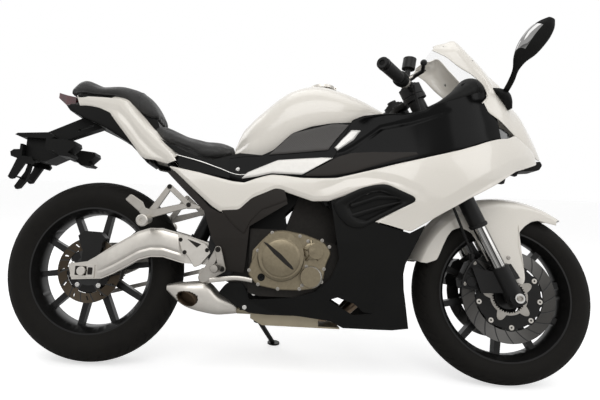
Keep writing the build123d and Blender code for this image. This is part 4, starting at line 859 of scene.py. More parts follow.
def nose_grid():
    """The whole nose as one fine grid from the left low edge over the centre to the right one, cubic
    both ways."""
    half = np.array([[low] + [(x, y, z) for y, z in line] for low, x, line in NOSE], float)
    net = np.concatenate([half, half[:, -2::-1] * [1, -1, 1]], 1)
    for steps in (PER_ROW, PER_LINE):
        knots = np.arange(len(net))
        net = through(knots, net, np.linspace(0, knots[-1], knots[-1] * steps + 1)).transpose(1, 0, 2)
    return net


# the screen ends at the thirteenth row, and the white wings beside it are three lines wide
nose = nose_grid()
fold, wing = 12 * PER_ROW, 3 * PER_LINE
sides = nose[:fold + 1, :wing + 1], nose[:fold + 1, -wing - 1:]
wings = [shell(side, 3, (1320, 0, 1000)) for side in sides]
cover("nose_bonnet", joined(shell(nose[fold:], 3, (1380, 0, 860)), *wings), WHITE, "nose_cowl")
screen = nose[7:fold + 3, wing - 1:nose.shape[1] - wing + 1] - [1.2, 0, 3.4]
cover("screen_sheet", shell(screen, 2.5, (1300, 0, 900)), CLEAR, "windscreen")

# front fender: angle about the axle on the 300 mm arc, then the side's lower edge (x, z)
FENDER_RUNGS = [
    (57, 1568, 531), (62, 1535, 538), (67, 1512, 545), (71, 1490, 541), (75, 1466, 525), (79, 1448, 505),
    (81, 1441, 480), (82, 1442, 450), (83, 1449, 415), (84, 1455, 388), (85, 1457, 360), (86, 1456, 345),
    (87, 1450, 333), (88.5, 1432, 338), (90, 1414, 352), (92, 1398, 381), (95, 1385, 412), (98, 1375, 437),
    (102, 1362, 466), (105, 1351, 493), (108, 1338, 505), (111, 1331, 480), (113, 1335, 440),
    (115, 1342, 408), (117, 1340, 400), (119, 1325, 430), (122, 1312, 465), (125, 1300, 487),
    (129, 1280, 500), (132, 1255, 512), (136, 1225, 500), (140, 1210, 480), (146, 1195, 450),
    (152, 1180, 415), (157, 1172, 400), (161, 1140, 388)]


def fender_grid(along=260, side=12, crown=22, skirt=74.0, arc=300.0):
    """From the left side's lower edge up to the 300 mm arc, over the crown and down the right side. The
    crown at y stands 29 (1 - (y / skirt)^2)^0.7 mm above the arc, and the front edge runs 6 degrees
    further ahead at the centre."""
    rungs = np.array(FENDER_RUNGS, float)
    angle, low_x, low_z = evened(rungs, route(rungs[:, 1:]), along, 2).T[:, :, None]
    turn = np.radians(angle)
    s = np.linspace(0, 1, side)[None, :]
    high = about(FRONT_AXLE, turn, arc, 0)
    left = stacked(low_x * (1 - s) + high[..., 0] * s, skirt - 1.5 * (1 - s) ** 2,
                   low_z * (1 - s) + high[..., 2] * s)
    w = np.linspace(1, -1, crown)[None, 1:-1]
    lead = np.radians(6) * (1 - w ** 2) * np.clip((72 - angle) / 15, 0, 1)
    over = about(FRONT_AXLE, turn - lead, arc + 29 * np.clip(1 - w ** 2, 0, 1) ** 0.7, skirt * w)
    return np.concatenate([left, over, left[:, ::-1] * [1, -1, 1]], 1)


cover("fender_shell", shell(fender_grid(), 2.5, (FRONT_AXLE[0] - 10, 0, 420)), WHITE, "front_fender",
      "steering")

COWL_RUNGS = [
    (-94, 893, -112, 937), (-47, 886, -60, 930), (-10, 874, 0, 924), (28, 861, 66, 916), (55, 829, 89, 898),
    (90, 788, 122, 858), (121, 751, 148, 831), (146, 721, 176, 800), (157, 708, 196, 783),
    (171, 699, 226, 757), (212, 694, 255, 731), (240, 687, 272, 716), (256, 683, 286, 694)]
TAIL_CREASE = [(-112, 921), (0, 905), (60, 893), (100, 856), (150, 795), (200, 747), (290, 690)]
tail_sides = panel(COWL_RUNGS, 160, 32, skin=TAIL, facet=(5, 12), creases=((TAIL_CREASE, 22, 4.0),))
cover("tail_sides", tail_sides, WHITE, "tail_cowl")
LOW_TAIL_RUNGS = [
    (-142, 893, -136, 906), (-92, 860, -98, 905), (-40, 838, -48, 900), (2, 820, 10, 885),
    (50, 795, 52, 850), (99, 766, 100, 800), (140, 728, 132, 770), (168, 698, 162, 722),
    (213, 692, 207, 714)]
detail("low_tail_sides", panel(LOW_TAIL_RUNGS, 120, 22, lift=-5, skin=TAIL), SATIN_BLACK, "rear_fender")


def ledge(path, inward, rise):
    """A strip from the tail panel's edge along (x, z) spots, inward by so many mm and up by (x, z),
    bowed a little."""
    path = np.array(path, float)
    way = route(path)
    fine = through(way, path, np.linspace(0, way[-1], 120))
    u = np.linspace(0, 1, 12)[None, :]
    x, z = fine[:, :1] + rise[0] * u, fine[:, 1:] + rise[1] * u + 2.5 * np.sin(np.pi * u)
    return twins(shell(stacked(x, half_width(fine[:, :1], fine[:, 1:], TAIL) - 1 - inward * u, z), 2.5,
                       (100, 0, 700)))


LEDGE_PATH = [(30, 921), (48, 918), (80, 905), (99, 884), (122, 856), (148, 829), (176, 798), (196, 781),
              (226, 755), (255, 729), (280, 703)]
detail("tail_ledges", ledge(LEDGE_PATH, 34, (13, 17)), WHITE, "tail_cowl")
SEAT_BASE = [(-110, 930), (60, 905), (100, 872), (150, 818), (196, 776), (214, 800), (196, 850), (150, 880),
             (80, 925), (-100, 942)]
detail("seat_base", plate(SEAT_BASE, -78, 78, 12, 3), SATIN_BLACK, "rear_fender")


# ---------------- the covers between the tank and the panels
KNEE_RUNGS = [
    (603, 719, 604, 720.5), (650, 723, 640, 756), (700, 728, 678, 795), (744, 733, 742, 812),
    (794, 738, 806, 829), (817, 770, 836, 829), (842, 802, 860, 827)]
TRIM_RUNGS = [
    (516, 635, 518, 639), (540, 639, 532, 655), (563, 643, 560, 668), (612, 655, 631, 700),
    (662, 653.5, 690, 705), (712, 652, 774, 711), (760, 681, 795, 711), (804, 707, 808, 710)]
INSERT_RUNGS = [
    (814, 746, 816, 744), (838, 775, 824, 736), (860, 798, 850, 755), (869, 808, 876, 774),
    (886, 808, 890, 795), (896, 807.5, 899, 806)]
UNDER_RUNGS = [
    (474, 636, 470, 706), (520, 622, 520, 714), (575, 634, 575, 716), (620, 645, 615, 736),
    (680, 642, 676, 797), (740, 640, 740, 822), (790, 640, 806, 834), (822, 648, 850, 836),
    (850, 690, 880, 838), (880, 740, 905, 842)]
cover("knee_panels", panel(KNEE_RUNGS, 90, 24, lift=-1.5), RIBBED, "tank_trims")
detail("under_tank_trims", panel(TRIM_RUNGS, 90, 22, lift=-1.5), SILVER_PAINT, "tank_trims")
detail("silver_inserts", panel(INSERT_RUNGS, 60, 16, soft=1, lift=0.5), INSERT, "tank_trims")
detail("under_covers", panel(UNDER_RUNGS, 90, 22, wall=2.5, lift=-7.5), GLOSS_BLACK, "tank_trims")


# ---------------- seats
def read(mesh, what):
    """A vector of each vertex, such as its co or normal."""
    values = np.empty(len(mesh.vertices) * 3)
    mesh.vertices.foreach_get(what, values)
    return values.reshape(-1, 3)


def baked(piece):
    """A new mesh of a piece as its modifiers leave it."""
    return bpy.data.meshes.new_from_object(piece.evaluated_get(bpy.context.evaluated_depsgraph_get()))


def stuffed(name, part, node, cap):
    """A vinyl pad blown up by cloth pressure from a slightly small closed form. No point moves further
    than cap mm, and the underside by a third of that."""
    pad = cover(name, part, VINYL, node, smooth=180)
    scene = bpy.context.scene
    remesh = pad.modifiers.new("even skin", "REMESH")
    remesh.mode, remesh.voxel_size, remesh.use_smooth_shade = "VOXEL", 0.005, True
    even = baked(pad)
    pad.modifiers.remove(remesh)
    pad.data = even
    rest, facing = read(even, "co"), read(even, "normal")
    cloth = pad.modifiers.new("stuffing", "CLOTH")
    cloth.settings.use_pressure, cloth.settings.uniform_pressure_force = True, 4.0
    cloth.settings.effector_weights.gravity = 0.0
    for step in range(1, 21):
        scene.frame_set(step)
    blown = baked(pad)
    moved = read(blown, "co") - rest
    pad.modifiers.remove(cloth)
    scene.frame_set(1)
    reach = cap / 1000 * np.where(facing[:, 2:] < -0.6, 0.33, 1.0)
    share = np.minimum(1, reach / np.maximum(norm(moved, axis=1)[:, None], 1e-9))
    even.vertices.foreach_set("co", (rest + moved * share).ravel())
    even.update()
    bpy.data.meshes.remove(blown)
    even.materials.clear()
    even.materials.append(VINYL)
    smoother = pad.modifiers.new("finer skin", "SUBSURF")
    smoother.levels = smoother.render_levels = 1
    return pad


def laid_on(pad, line):
    """A line of bike frame points moved onto the finished skin of a pad."""
    skin = BVHTree.FromObject(pad, bpy.context.evaluated_depsgraph_get())
    nearest = [skin.find_nearest(Vector(spot)) for spot in placed(line)]
    spots = np.array([spot + normal * 0.0002 for spot, normal, face, distance in nearest])
    return (spots - placed(np.zeros(3))) @ np.array(Matrix.Rotation(LEAN, 3, "X").transposed()) * 1000


RIDER_ROWS = [
    (170, 834, 824, 58, 810, 53), (212, 827, 804, 107, 783, 101), (319, 787, 760, 127, 736, 118),
    (385, 775, 742, 123, 715, 114), (430, 775, 737, 106, 715, 97), (472, 772, 745, 62, 733, 56)]
PILLION_ROWS = [
    (-146, 968, 955, 48, 946, 44), (-118, 993, 965, 68, 947, 62), (-20, 975, 955, 88, 939, 80),
    (78, 969, 941, 100, 919, 92), (141, 947, 904, 100, 871, 94), (174, 917, 881, 96, 856, 90),
    (198, 872, 861, 76, 854, 74)]
rider_rings, pillion_rings = crown_rings(RIDER_ROWS, 60), crown_rings(PILLION_ROWS, 60)
stuffed("rider_pad", closed_tube(rider_rings), "rider_seat", 6.0)
pillion_pad = stuffed("pillion_pad", closed_tube(pillion_rings), "pillion_seat", 6.0)
seam = pillion_rings[47, 1:20]
seam = laid_on(pillion_pad, np.concatenate([(seam * [1, -1, 1])[::-1], pillion_rings[47, :1], seam]))
detail("pillion_welt", rope(seam, 1.3, 8, 90), VINYL, "pillion_seat")


# ---------------- wheels
# the tread's grooves end at this share of the crown's radius
TREAD_FOOT = 262 / 292


def tyre(centre, profile, inner, around=840, pitches=26, sweep=0.020):
    """A tyre from half of its outer section, (y, radius) from crown to bead, and of its inner one.
    Slanting grooves run from near the crown to the shoulder: their depth is 3.6 mm where the distance
    along the tread to the line angle = pitch k + sweep |y| / 10 is under 1.5 mm, fading over 1.4 mm,
    with a short one between each two."""
    profile, inner = np.array(profile, float), np.array(inner, float)
    half = np.concatenate([profile[:0:-1] * [-1, 1], profile])
    way = route(half)
    outer = through(way, half, np.linspace(0, way[-1], 61))
    section = np.concatenate([outer, inner[::-1], inner[1:] * [-1, 1]])
    angle = even_angles(around)[:, None]
    y, level = section.T[:, None, :]
    share, tread = np.abs(y) / profile[:, 0].max(), np.arange(len(section)) < len(outer)
    radius = np.repeat(level, around, 0)
    pitch = 2 * np.pi / pitches
    above_foot = np.clip((level - TREAD_FOOT * profile[0, 1]) / 5, 0, 1)
    for shift, low, high in ((0.0, 0.10, 0.86), (0.5, 0.48, 0.92)):
        turns = (angle - sweep * np.abs(y) / 10 * (1 + share)) / pitch + shift + np.where(y > 0, 0.25, 0.0)
        away = np.abs(turns - np.round(turns)) * pitch * radius
        span = np.clip((share - low) * 12, 0, 1) * np.clip((high - share) * 12, 0, 1)
        radius -= 3.6 * np.clip((2.9 - away) / 1.4, 0, 1) * span * above_foot * tread
    return wrapped(about(centre, angle, radius, y))


# the angles of a flat ring's points, and the width of its chamfer
RING = even_angles(180)
RIM = 0.6


def swept_plate(centre, faces, inner, outer):
    """A flat ring between two faces across the bike, its inner and outer radius given once or for each
    angle of RING."""
    near, far = np.broadcast_to(inner, RING.shape), np.broadcast_to(outer, RING.shape)
    radius = np.stack([near, near, far - RIM, far, far, far - RIM], 1)
    low, high = sorted(faces)
    y = np.array([[low, high, high, high - RIM, low + RIM, low]])
    return wrapped(about(centre, RING[:, None], radius, y))


def ring_spots(centre, radius, count, phase, y):
    """Spots at even angles round an axle from a phase in degrees, all y mm to its left."""
    return about(centre, math.radians(phase) + even_angles(count), radius, y)


def petals(count, first, height, sharp, dip):
    """Bumps of a height round RING, the first one at an angle: height times a cosine raised to fit
    between 0 and 1."""
    return height * np.clip(np.cos(count * (RING - first)) * sharp - dip, 0, 1)


# (y, radius) of each section, from the crown to the bead outside and from the bead to the crown inside
FRONT_OUTER = [(0, 292), (14, 290.6), (28, 285.8), (40, 277), (49.5, 264), (54.5, 250), (53.5, 236),
               (49, 223), (44.5, 216.4)]
FRONT_INNER = [(38, 216.4), (41, 226), (45.5, 240), (44, 254), (34, 270), (18, 279), (0, 282)]
REAR_OUTER = [(0, 313), (18, 311.2), (36, 305.4), (52, 295), (64, 280), (70.5, 262), (69, 243), (63, 227),
              (58.5, 216.4)]
REAR_INNER = [(52, 216.4), (55, 230), (61, 248), (59, 266), (46, 286), (24, 299), (0, 303)]
cover("front_tread", tyre(FRONT_AXLE, FRONT_OUTER, FRONT_INNER), FRONT_RUBBER, "front_tyre", "front_wheel")
cover("rear_tread", tyre(REAR_AXLE, REAR_OUTER, REAR_INNER), REAR_RUBBER, "rear_tyre", "rear_wheel")
for node in ("front_rim", "rear_rim"):
    softened(node, 1.5)

button = [(3.2, 0), (3.2, 2.2), (5.2, 2.6), (8.2, 2.2), (8.8, 0)]
for side, name, maker in ((-1, "right", cover), (1, "left", detail)):
    spots = ring_spots(FRONT_AXLE, 99, 9, -8, side * 66.5)
    detail(name + "_disc_buttons", joined(*[turned(button, spot, (0, side, 0), 18) for spot in spots]),
           SILVER, "front_discs", "front_wheel")
    band = swept_plate(FRONT_AXLE, (side * 61.5, side * 66.5), 110, 150)
    maker(name + "_disc_band", band, FRONT_STEEL, "front_discs", "front_wheel")
    carrier = swept_plate(FRONT_AXLE, (side * 60, side * 67.2), 52,
                          104 + petals(9, math.radians(-8), 7.5, 1.6, 0.2))
    detail(name + "_disc_carrier", carrier, BLACK_METAL, "front_discs", "front_wheel")
ring = swept_plate(FRONT_AXLE, (-68.4, -66.9), 50 + 4 * (np.cos(40 * RING) > 0),
                   61 + petals(5, 0.5, 23, 1.4, 0.4))
screws = bolts(ring_spots(FRONT_AXLE, 79, 5, math.degrees(0.5), -68.4), RIGHT, 4.2, 0.8)
detail("speed_ring", joined(ring, screws), ZINC, "front_discs", "front_wheel")
detail("rear_disc_carrier", swept_plate(REAR_AXLE, (-69.8, -66.2), 30, 76 - petals(5, -0.9, 16, 2, 1.2)),
       BLACK_METAL, "rear_disc", "rear_wheel")
disc_screws = bolts(ring_spots(REAR_AXLE, 62, 5, 18, -REAR_DISC_FACE), RIGHT, 6.0, 3.5, 8.0)
detail("rear_disc_screws", disc_screws, BRIGHT, "rear_disc", "rear_wheel")


def around_axle(angle, radius, y):
    """A spot at an angle in degrees and a radius from the front axle."""
    return about(FRONT_AXLE, math.radians(angle), radius, y)


def on_fork(up, across):
    """A spot so far up the fork's slant from the axle, and so far to the left."""
    return FRONT_AXLE + FORK_UP * up + [0, across, 0]


piston = [(0, 0), (17, 0), (17, 2.4), (15.5, 4), (12, 4), (11, 3), (0, 3)]
pistons = [turned(piston, around_axle(angle, 138, 94.5), LEFT, 32) for angle in (144, 162)]
bridges = [rope([around_axle(angle, 112, 96), around_axle(angle, 164, 96)], 3, 8, 6)
           for angle in (135.5, 153, 170.5)]
spine = rope([around_axle(angle, 163, 92) for angle in (136, 144, 153, 162, 170)], 5, 10, 40)
detail("caliper_castings", twins(*pistons, *bridges, spine), BLACK_METAL, "front_calipers", "steering")
caliper_bolts = [around_axle(139, 157, 94.5), around_axle(167, 157, 94.5), around_axle(153, 118, 94.5)]
axle_end = turned([(0, 0), (9, 0), (9, 5), (6, 5), (5, 1.5), (0, 1.5)], (1405, 134.8, 292), LEFT, 32)
detail("front_end_screws", twins(bolts(caliper_bolts, LEFT, 4.2, 4, 6), axle_end), ZINC, "front_axle",
       "steering")
seal = [(20.9, 0), (26, 0), (29, 3), (29.5, 10), (27.2, 13), (20.9, 13)]
detail("fork_seals", twins(turned(seal, on_fork(243, 101), FORK_UP, 48)), RUBBER, "front_brake_hose",
       "steering")
leaf_bolts = bolts([(1406, 73.6, 417), (1430, 73.2, 362)], LEFT, 4.5, 2.5, 7)
detail("leaf_bolts", twins(leaf_bolts), ZINC, "front_axle", "steering")


# ---------------- mirrors
# the directions of the head's oval half axes, then (middle, wide, deep) of each oval
DEEP, WIDE = np.array([0.885, 0, -0.465]), np.array([0.108, 0.970, 0.216])
MIRROR = [
    ((1391, 138, 973), 9, 9), ((1388, 178, 990), 9, 9), ((1384, 220, 1018), 10, 10),
    ((1386, 240, 1040), 14, 20), ((1400, 254, 1064), 20, 31), ((1416, 265, 1090), 21, 35),
    ((1432, 276, 1114), 19, 33), ((1446, 287, 1134), 14, 24), ((1455, 295, 1147), 7, 12)]


def mirror_glass():
    """The rear face of the head between two angles round its middle line, lifted off it by a few
    hundredths."""
    rows = np.array([[*middle, wide, deep] for middle, wide, deep in MIRROR[3:8]], float)
    fine = through(np.arange(5), rows, np.linspace(0.35, 3.3, 30))
    middle, wide, deep = fine[:, None, :3], fine[:, None, 3:4], fine[:, None, 4:5]
    c, s = squarish(np.radians(np.linspace(105, 235, 18))[None, :, None], 2.3)
    return shell(middle + 1.03 * (DEEP * deep * c + WIDE * wide * s), 2.0, (1420, 240, 1090))


BOOT_DEEP, BOOT_WIDE = np.array([0.85, 0, 0.5]), np.array([0.1, 1, 0])
BOOT = [
    ((1352, 117, 986), 7, 9), ((1372, 124, 978), 13, 12), ((1390, 128, 962), 17, 14),
    ((1404, 124, 938), 14, 13), ((1412, 119, 914), 7, 8)]
head = tapered([(middle, DEEP * deep, WIDE * wide) for middle, wide, deep in MIRROR], 70, 2.3, 40)
boot = tapered([(middle, BOOT_DEEP * deep, BOOT_WIDE * wide) for middle, deep, wide in BOOT], 30)
cover("mirror_housings", twins(head, boot), SATIN_BLACK, "mirrors")
detail("mirror_glasses", twins(mirror_glass()), MIRROR_GLASS, "mirrors")


# ---------------- cheeks beside the clocks
def cheek():
    """A rounded hood over the end of the black panel, beside the clocks."""
    x = np.array([1120, 1160, 1196, 1232, 1262, 1288, 1304, 1313, 1315])
    z = np.array([895, 912, 930, 950, 970, 984, 976, 957, 940])
    radius = np.array([3, 8, 16, 26, 35, 40, 36, 27, 12])
    y = half_width(x, z) - 6 - radius * 0.72
    return rope(stacked(x, y, z), radius, 28, 110)


detail("cheek_hoods", twins(cheek()), SATIN_BLACK, "upper_fairings")


# ---------------- air vents in the belly pan
VENT_EDGE = [
    (806, 560), (854, 591), (893, 612), (935, 624), (974, 627), (1060, 589), (1062, 575), (951, 517),
    (894, 484), (855, 490), (823, 521)]


def vent_surround(outline, centre, share, profile):
    """A frame round an opening in the panel: each (s, lift) of its closed profile lies s of the way from
    the outline towards the outline shrunk by a share about the centre, and lift mm off the panel."""
    rim = plate(outline, 0, 1, 14, 0.1)[0]
    rim = rim[len(rim) // 4:len(rim) // 2][:, [0, 2]]
    s, lift = np.array(profile, float).T[:, None, :]
    flat = rim[:, None] + (np.array(centre, float) - rim[:, None]) * (1 - share) * s[..., None]
    return wrapped(stacked(flat[..., 0], half_width(flat[..., 0], flat[..., 1]) + lift, flat[..., 1]))


SLATS = [[(868, 548, 862, 560), (900, 561, 902, 574), (945, 578, 948, 592), (1000, 581, 1008, 590),
          (1020, 578, 1024, 582)],
         [(872, 516, 866, 530), (905, 528, 903, 542), (950, 545, 952, 559), (1000, 562, 1004, 572),
          (1018, 570, 1020, 575)]]
detail("vent_slats", joined(*[panel(slat, 50, 14, wall=2.5, lift=-5.0, roll=3.0) for slat in SLATS]),
       SATIN_BLACK, "fairing_vents")
VENT_LIP = [(0, -5), (0.06, -1.2), (0.2, 0.4), (0.55, -0.4), (0.7, -2.2), (1, -10), (1, -12.5), (0, -8)]
vent_frame = vent_surround(VENT_EDGE, (938, 560), 0.62, VENT_LIP)
detail("vent_frames", twins(vent_frame), SATIN_BLACK, "fairing_vents")


# ---------------- below the nose
intake = plate([(1478, 730), (1500, 748), (1552, 756), (1558, 742), (1546, 724), (1486, 718)], -36, 36, 5, 2)
clip = joined(plate([(1424, 722), (1462, 716), (1452, 694), (1430, 700)], 50, 66, 3, 1.5),
              plate([(1370, 686), (1402, 680), (1396, 662), (1376, 664)], 74, 90, 3, 1.5))
detail("nose_intake", joined(intake, clip, mirrored(clip)), SATIN_BLACK, "headlight")


# ---------------- controls on the bars
RIGHT_BAR = np.array([(1081.8, -132.0, 971.0), (929.8, -350.0, 964.0)])
BAR_AXIS = (RIGHT_BAR[1] - RIGHT_BAR[0]) / norm(RIGHT_BAR[1] - RIGHT_BAR[0])


def on_bar(along, profile):
    """A profile turned round the right bar, from so many mm along it outwards."""
    return turned(profile, RIGHT_BAR[0] + BAR_AXIS * along, BAR_AXIS, 40)


grip_profile = [(0, 0), (19, 0), (20, 3)]
for k in range(24):
    grip_profile += [(18.2, 6 + 4.6 * k), (18.8, 8 + 4.6 * k)]
grip = on_bar(136, grip_profile + [(19.5, 118), (19.5, 122), (0, 122)])
end_cap = on_bar(258, [(0, 0), (17.5, 0), (18.5, 2), (18.5, 13), (15, 17), (8, 17.5), (7, 15), (0, 15)])
switch_box = on_bar(98, [(0, 0), (19, 0), (23, 3), (24, 10), (24, 26), (22, 32), (19, 34), (0, 34)])
starter = turned([(0, 0), (7, 0), (7, 9), (6, 11), (0, 11)], RIGHT_BAR[0] + BAR_AXIS * 112 + [-20, 0, 6],
                 (-0.9, 0, 0.4), 24)
detail("grips", twins(grip), RUBBER, "handlebars", "steering")
detail("switch_boxes", twins(end_cap, switch_box, starter), SATIN_BLACK, "hand_levers", "steering")
clamp = on_bar(70, [(0, 0), (18, 0), (19.5, 2), (19.5, 14), (18, 16), (0, 16)])
perch = RIGHT_BAR[0] + BAR_AXIS * 83
pivot = bolt(tuple(perch + [28, -7, 18]), (0, 0, 1), 6, 5, 9)
lever_foot = rope([perch + [10, 0, 6], perch + [20, -4, 12], perch + [30, -8, 17]], [10, 9, 8], 12, 12)
detail("lever_perches", twins(clamp, pivot, lever_foot), ZINC, "rear_axle", "steering")
screen_screws = bolts([(1203, 97, 1143), (1292, 113, 1088)], (0, 0.9, 0.3), 3.6, 2.2, 6)
detail("screen_screws", twins(screen_screws), SATIN_BLACK, "windscreen")


# ---------------- silencer tip
TIP_ROWS = [
    (290, -106, -150, 264, 283), (318, -98, -164, 240, 290), (350, -88, -175, 220, 294),
    (385, -82, -177, 208, 298), (413, -77, -174, 202, 299), (436, -74, -168, 198, 284),
    (455, -72, -160, 196, 264), (485, -73, -140, 197, 246), (514, -76, -118, 199, 229)]
OUTLET, OUTLET_LONG, OUTLET_SHORT = np.array([360.0, -174.0, 245.0]), 33.0, 21.0
OUT_OF_TIP = np.array([-0.42, -0.86, -0.29]) / norm([-0.42, -0.86, -0.29])
OUTLET_U = np.array([0.9, -0.36, -0.24])
OUTLET_U = OUTLET_U - OUT_OF_TIP * OUTLET_U.dot(OUT_OF_TIP)
OUTLET_U /= norm(OUTLET_U)
OUTLET_V = np.cross(OUT_OF_TIP, OUTLET_U)


def tip_body():
    """Squarish ovals along x, with the outlet pressed in: inside the oval (a / long)^2 + (b / short)^2 =
    1 the wall sinks by 36 mm over the outer tenth."""
    rows = np.array(TIP_ROWS, float)
    x, y_in, y_out, low, high = through(rows[:, 0], rows, np.linspace(290, 514, 130)).T
    middles = stacked(x, (y_in + y_out) / 2, (low + high) / 2)
    rings = ovals(middles, stacked(0, 0, (high - low) / 2), stacked(0, (y_in - y_out) / 2, 0), 3.4, 150)
    rel = rings - OUTLET
    out = np.hypot(rel @ OUTLET_U / OUTLET_LONG, rel @ OUTLET_V / OUTLET_SHORT)
    near = (rel @ OUT_OF_TIP) > -45
    rings = rings - OUT_OF_TIP * (36 * np.clip((1.04 - out) / 0.12, 0, 1) * near)[..., None]
    return closed_tube(rings)


def oval_ring(profile, steps=64):
    """A closed profile of (share of the oval, height out of the tip) carried round the outlet."""
    share, height = np.asarray(profile, float).T[:, None, :, None]
    angle = even_angles(steps)[:, None, None]
    oval = OUTLET_LONG * np.cos(angle) * OUTLET_U + OUTLET_SHORT * np.sin(angle) * OUTLET_V
    return wrapped(OUTLET + share * oval + height * OUT_OF_TIP)


cover("tip_shell", tip_body(), SILVER, "exhaust_tip")
detail("tip_lining", oval_ring([(0.02, -15), (0.9, -15), (0.97, 1), (1.03, 2.5), (1.08, 1), (1.04, -4),
                                (0.99, -17), (0.02, -17)]), SOOT_BROWN, "exhaust_header")


# ---------------- right engine cover
COVER = [
    (551, 343), (566, 388), (577, 407), (595, 442), (624, 467), (658, 472), (723, 462), (787, 440),
    (811, 408), (793, 368), (786, 321), (765, 296), (713, 287), (645, 286), (582, 297), (552, 324)]
PUMP = (748, -174, 409)
# (radius, height) of each round cap
CLUTCH_DOME = [(0, 0), (72.5, 0), (72.5, 24), (69, 29), (60, 32), (56.5, 36.5), (53, 38.2), (30, 39.4),
               (0, 39.8)]
PUMP_DOME = [(0, 0), (27, 0), (26, 10), (22, 12), (13, 12.5), (11, 19), (0, 20)]
SMALL_DOME = [(0, 0), (32.5, 0), (32.5, 18), (30, 21), (26, 22.5), (0, 24)]
domes = turned(CLUTCH_DOME, (651, -174, 385), RIGHT, 120), turned(PUMP_DOME, PUMP, RIGHT, 48)
ribs = [rope([about(PUMP, angle, 13, -12), about(PUMP, angle, 33, -4)], [4, 5], 8, 6)
        for angle in np.radians([20, 95, 165, 240, 310])]
detail("clutch_cover", joined(plate(COVER, -176, -150, 14, 3), *domes, *ribs), BRONZE, "engine_covers")
detail("speckled_cap", turned(SMALL_DOME, (748, -176, 330), RIGHT, 72), SPECKLED, "engine_covers")
BLADE = [(595, 432), (608, 428), (652, 396), (686, 362), (692, 351), (684, 352), (664, 366), (630, 395)]
detail("clutch_blade", plate(BLADE, -213.9, -205, 2, 0.3), CAST_DARK, "engine_covers")
COVER_BOLTS = [(553, 342), (578, 404), (622, 462), (710, 455), (780, 444), (803, 425), (787, 356),
               (780, 316), (712, 292), (645, 289), (583, 300), (732, 361), (720, 303), (736, 440)]
cover_bolts = bolts([(x, -176, z) for x, z in COVER_BOLTS], RIGHT, 3.8, 5.0, 5.6)
detail("cover_bolts", cover_bolts, ZINC, "rear_axle")
detail("oil_filler", bolt((592, -176, 322), RIGHT, 10, 7, 12), SATIN_BLACK, "radiator")


# ---------------- black guard below the engine
GUARD = [
    (451, 259), (470, 285), (483, 298), (532, 300), (548, 272), (556, 246), (632, 244), (705, 259),
    (720, 225), (700, 203), (615, 202), (556, 205), (516, 224), (486, 237)]
detail("lower_guards", twins(plate(GUARD, 118, 126, 8, 1.5)), SATIN_BLACK, "belly_pan")
detail("guard_bolts", bolts([(541, -126, 222), (569, -126, 267)], RIGHT, 5, 4, 7), BRIGHT, "rear_axle")


# ---------------- footrest brackets
# (x, z) at both ends, the half width there, and the faces at y
RIDER_BARS = (((450, 402), (466, 341), 11, 12, 153, 166), ((450, 402), (414, 322), 9, 14, 151, 163),
              ((466, 341), (408, 312), 12, 17, 152, 164), ((438, 372), (420, 306), 9, 10, 148, 158))
PILLION_BARS = (((277, 600), (344, 542), 9, 9, 148, 158), ((277, 600), (212, 500), 9, 12, 146, 156),
                ((344, 542), (216, 506), 9, 13, 147, 157))
foot = plate([(388, 330), (398, 302), (420, 292), (436, 298), (430, 330), (404, 344)], 146, 156, 6, 1.5)
rider_plate = joined(*[bar(*ends) for ends in RIDER_BARS], foot)
pillion_plate = joined(*[bar(*ends) for ends in PILLION_BARS],
                       plate([(338, 552), (386, 540), (384, 530), (336, 529)], 148, 156, 4, 1.5),
                       plate([(210, 486), (226, 498), (222, 520), (190, 530), (180, 512)], 144, 158, 6, 2),
                       plate([(128, 553), (147, 572), (188, 547), (206, 512), (190, 505)], 140, 150, 6, 2))
footpeg = turned([(0, 0), (9, 0), (9, 14), (13, 16), (13, 88), (11, 95), (0, 96)], (452, 165, 345), LEFT, 32)
cover("rider_plates", twins(rider_plate, footpeg), ZINC, "rearsets")
detail("pillion_plates", twins(pillion_plate), ZINC, "rearsets")
guide_bolts = bolts([(323, 144, 428), (339, 144, 388), (412, 144, 398)], LEFT, 4.5, 3.5, 7)
plate_bolts = joined(bolts([(450, 166, 402), (466, 166, 341)], LEFT, 6, 4.5, 9),
                     bolts([(277, 158, 600), (344, 158, 542)], LEFT, 5.5, 4.5, 8))
detail("plate_bolts", twins(plate_bolts, guide_bolts), CAST_DARK, "rear_axle")
PEG_AXIS = (0, 1, -0.12)
# middle, half height, half width
PEDAL = [((430, 176, 305), 8, 4), ((470, 176, 311), 8, 4.5), ((510, 177, 316), 7, 4.5),
         ((545, 179, 314), 7, 5), ((564, 182, 311), 7, 7)]
pedal = tapered([(middle, (0, 0, high), (0, wide, 0)) for middle, high, wide in PEDAL], 40, 2.6, 20)
detail("pedals", twins(pedal), SILVER, "rearsets")
peg = turned([(0, 0), (13, 0), (15, 4), (15, 60), (0, 60)], (212, 148, 490), PEG_AXIS, 32)
peg_end = turned([(0, 0), (17, 0), (19, 3), (19, 14), (16, 17), (7, 17), (6, 14), (0, 14)], (212, 208, 483),
                 PEG_AXIS, 40)
cover("pillion_pegs", twins(peg, peg_end), SILVER, "pillion_footrests")


# ---------------- painted shade: dark plates where the space above the engine lies in shade
SHADE_FILL = [(500, 470), (515, 610), (583, 640), (700, 650), (716, 580), (664, 528), (668, 496), (704, 462),
          (660, 440), (560, 440)]
# painted shade: a black plate on each side standing for the shaded space above the engine
detail("shade_fill_plates", twins(plate(SHADE_FILL, 98, 108, 6, 2)), SATIN_BLACK, "belly_pan")
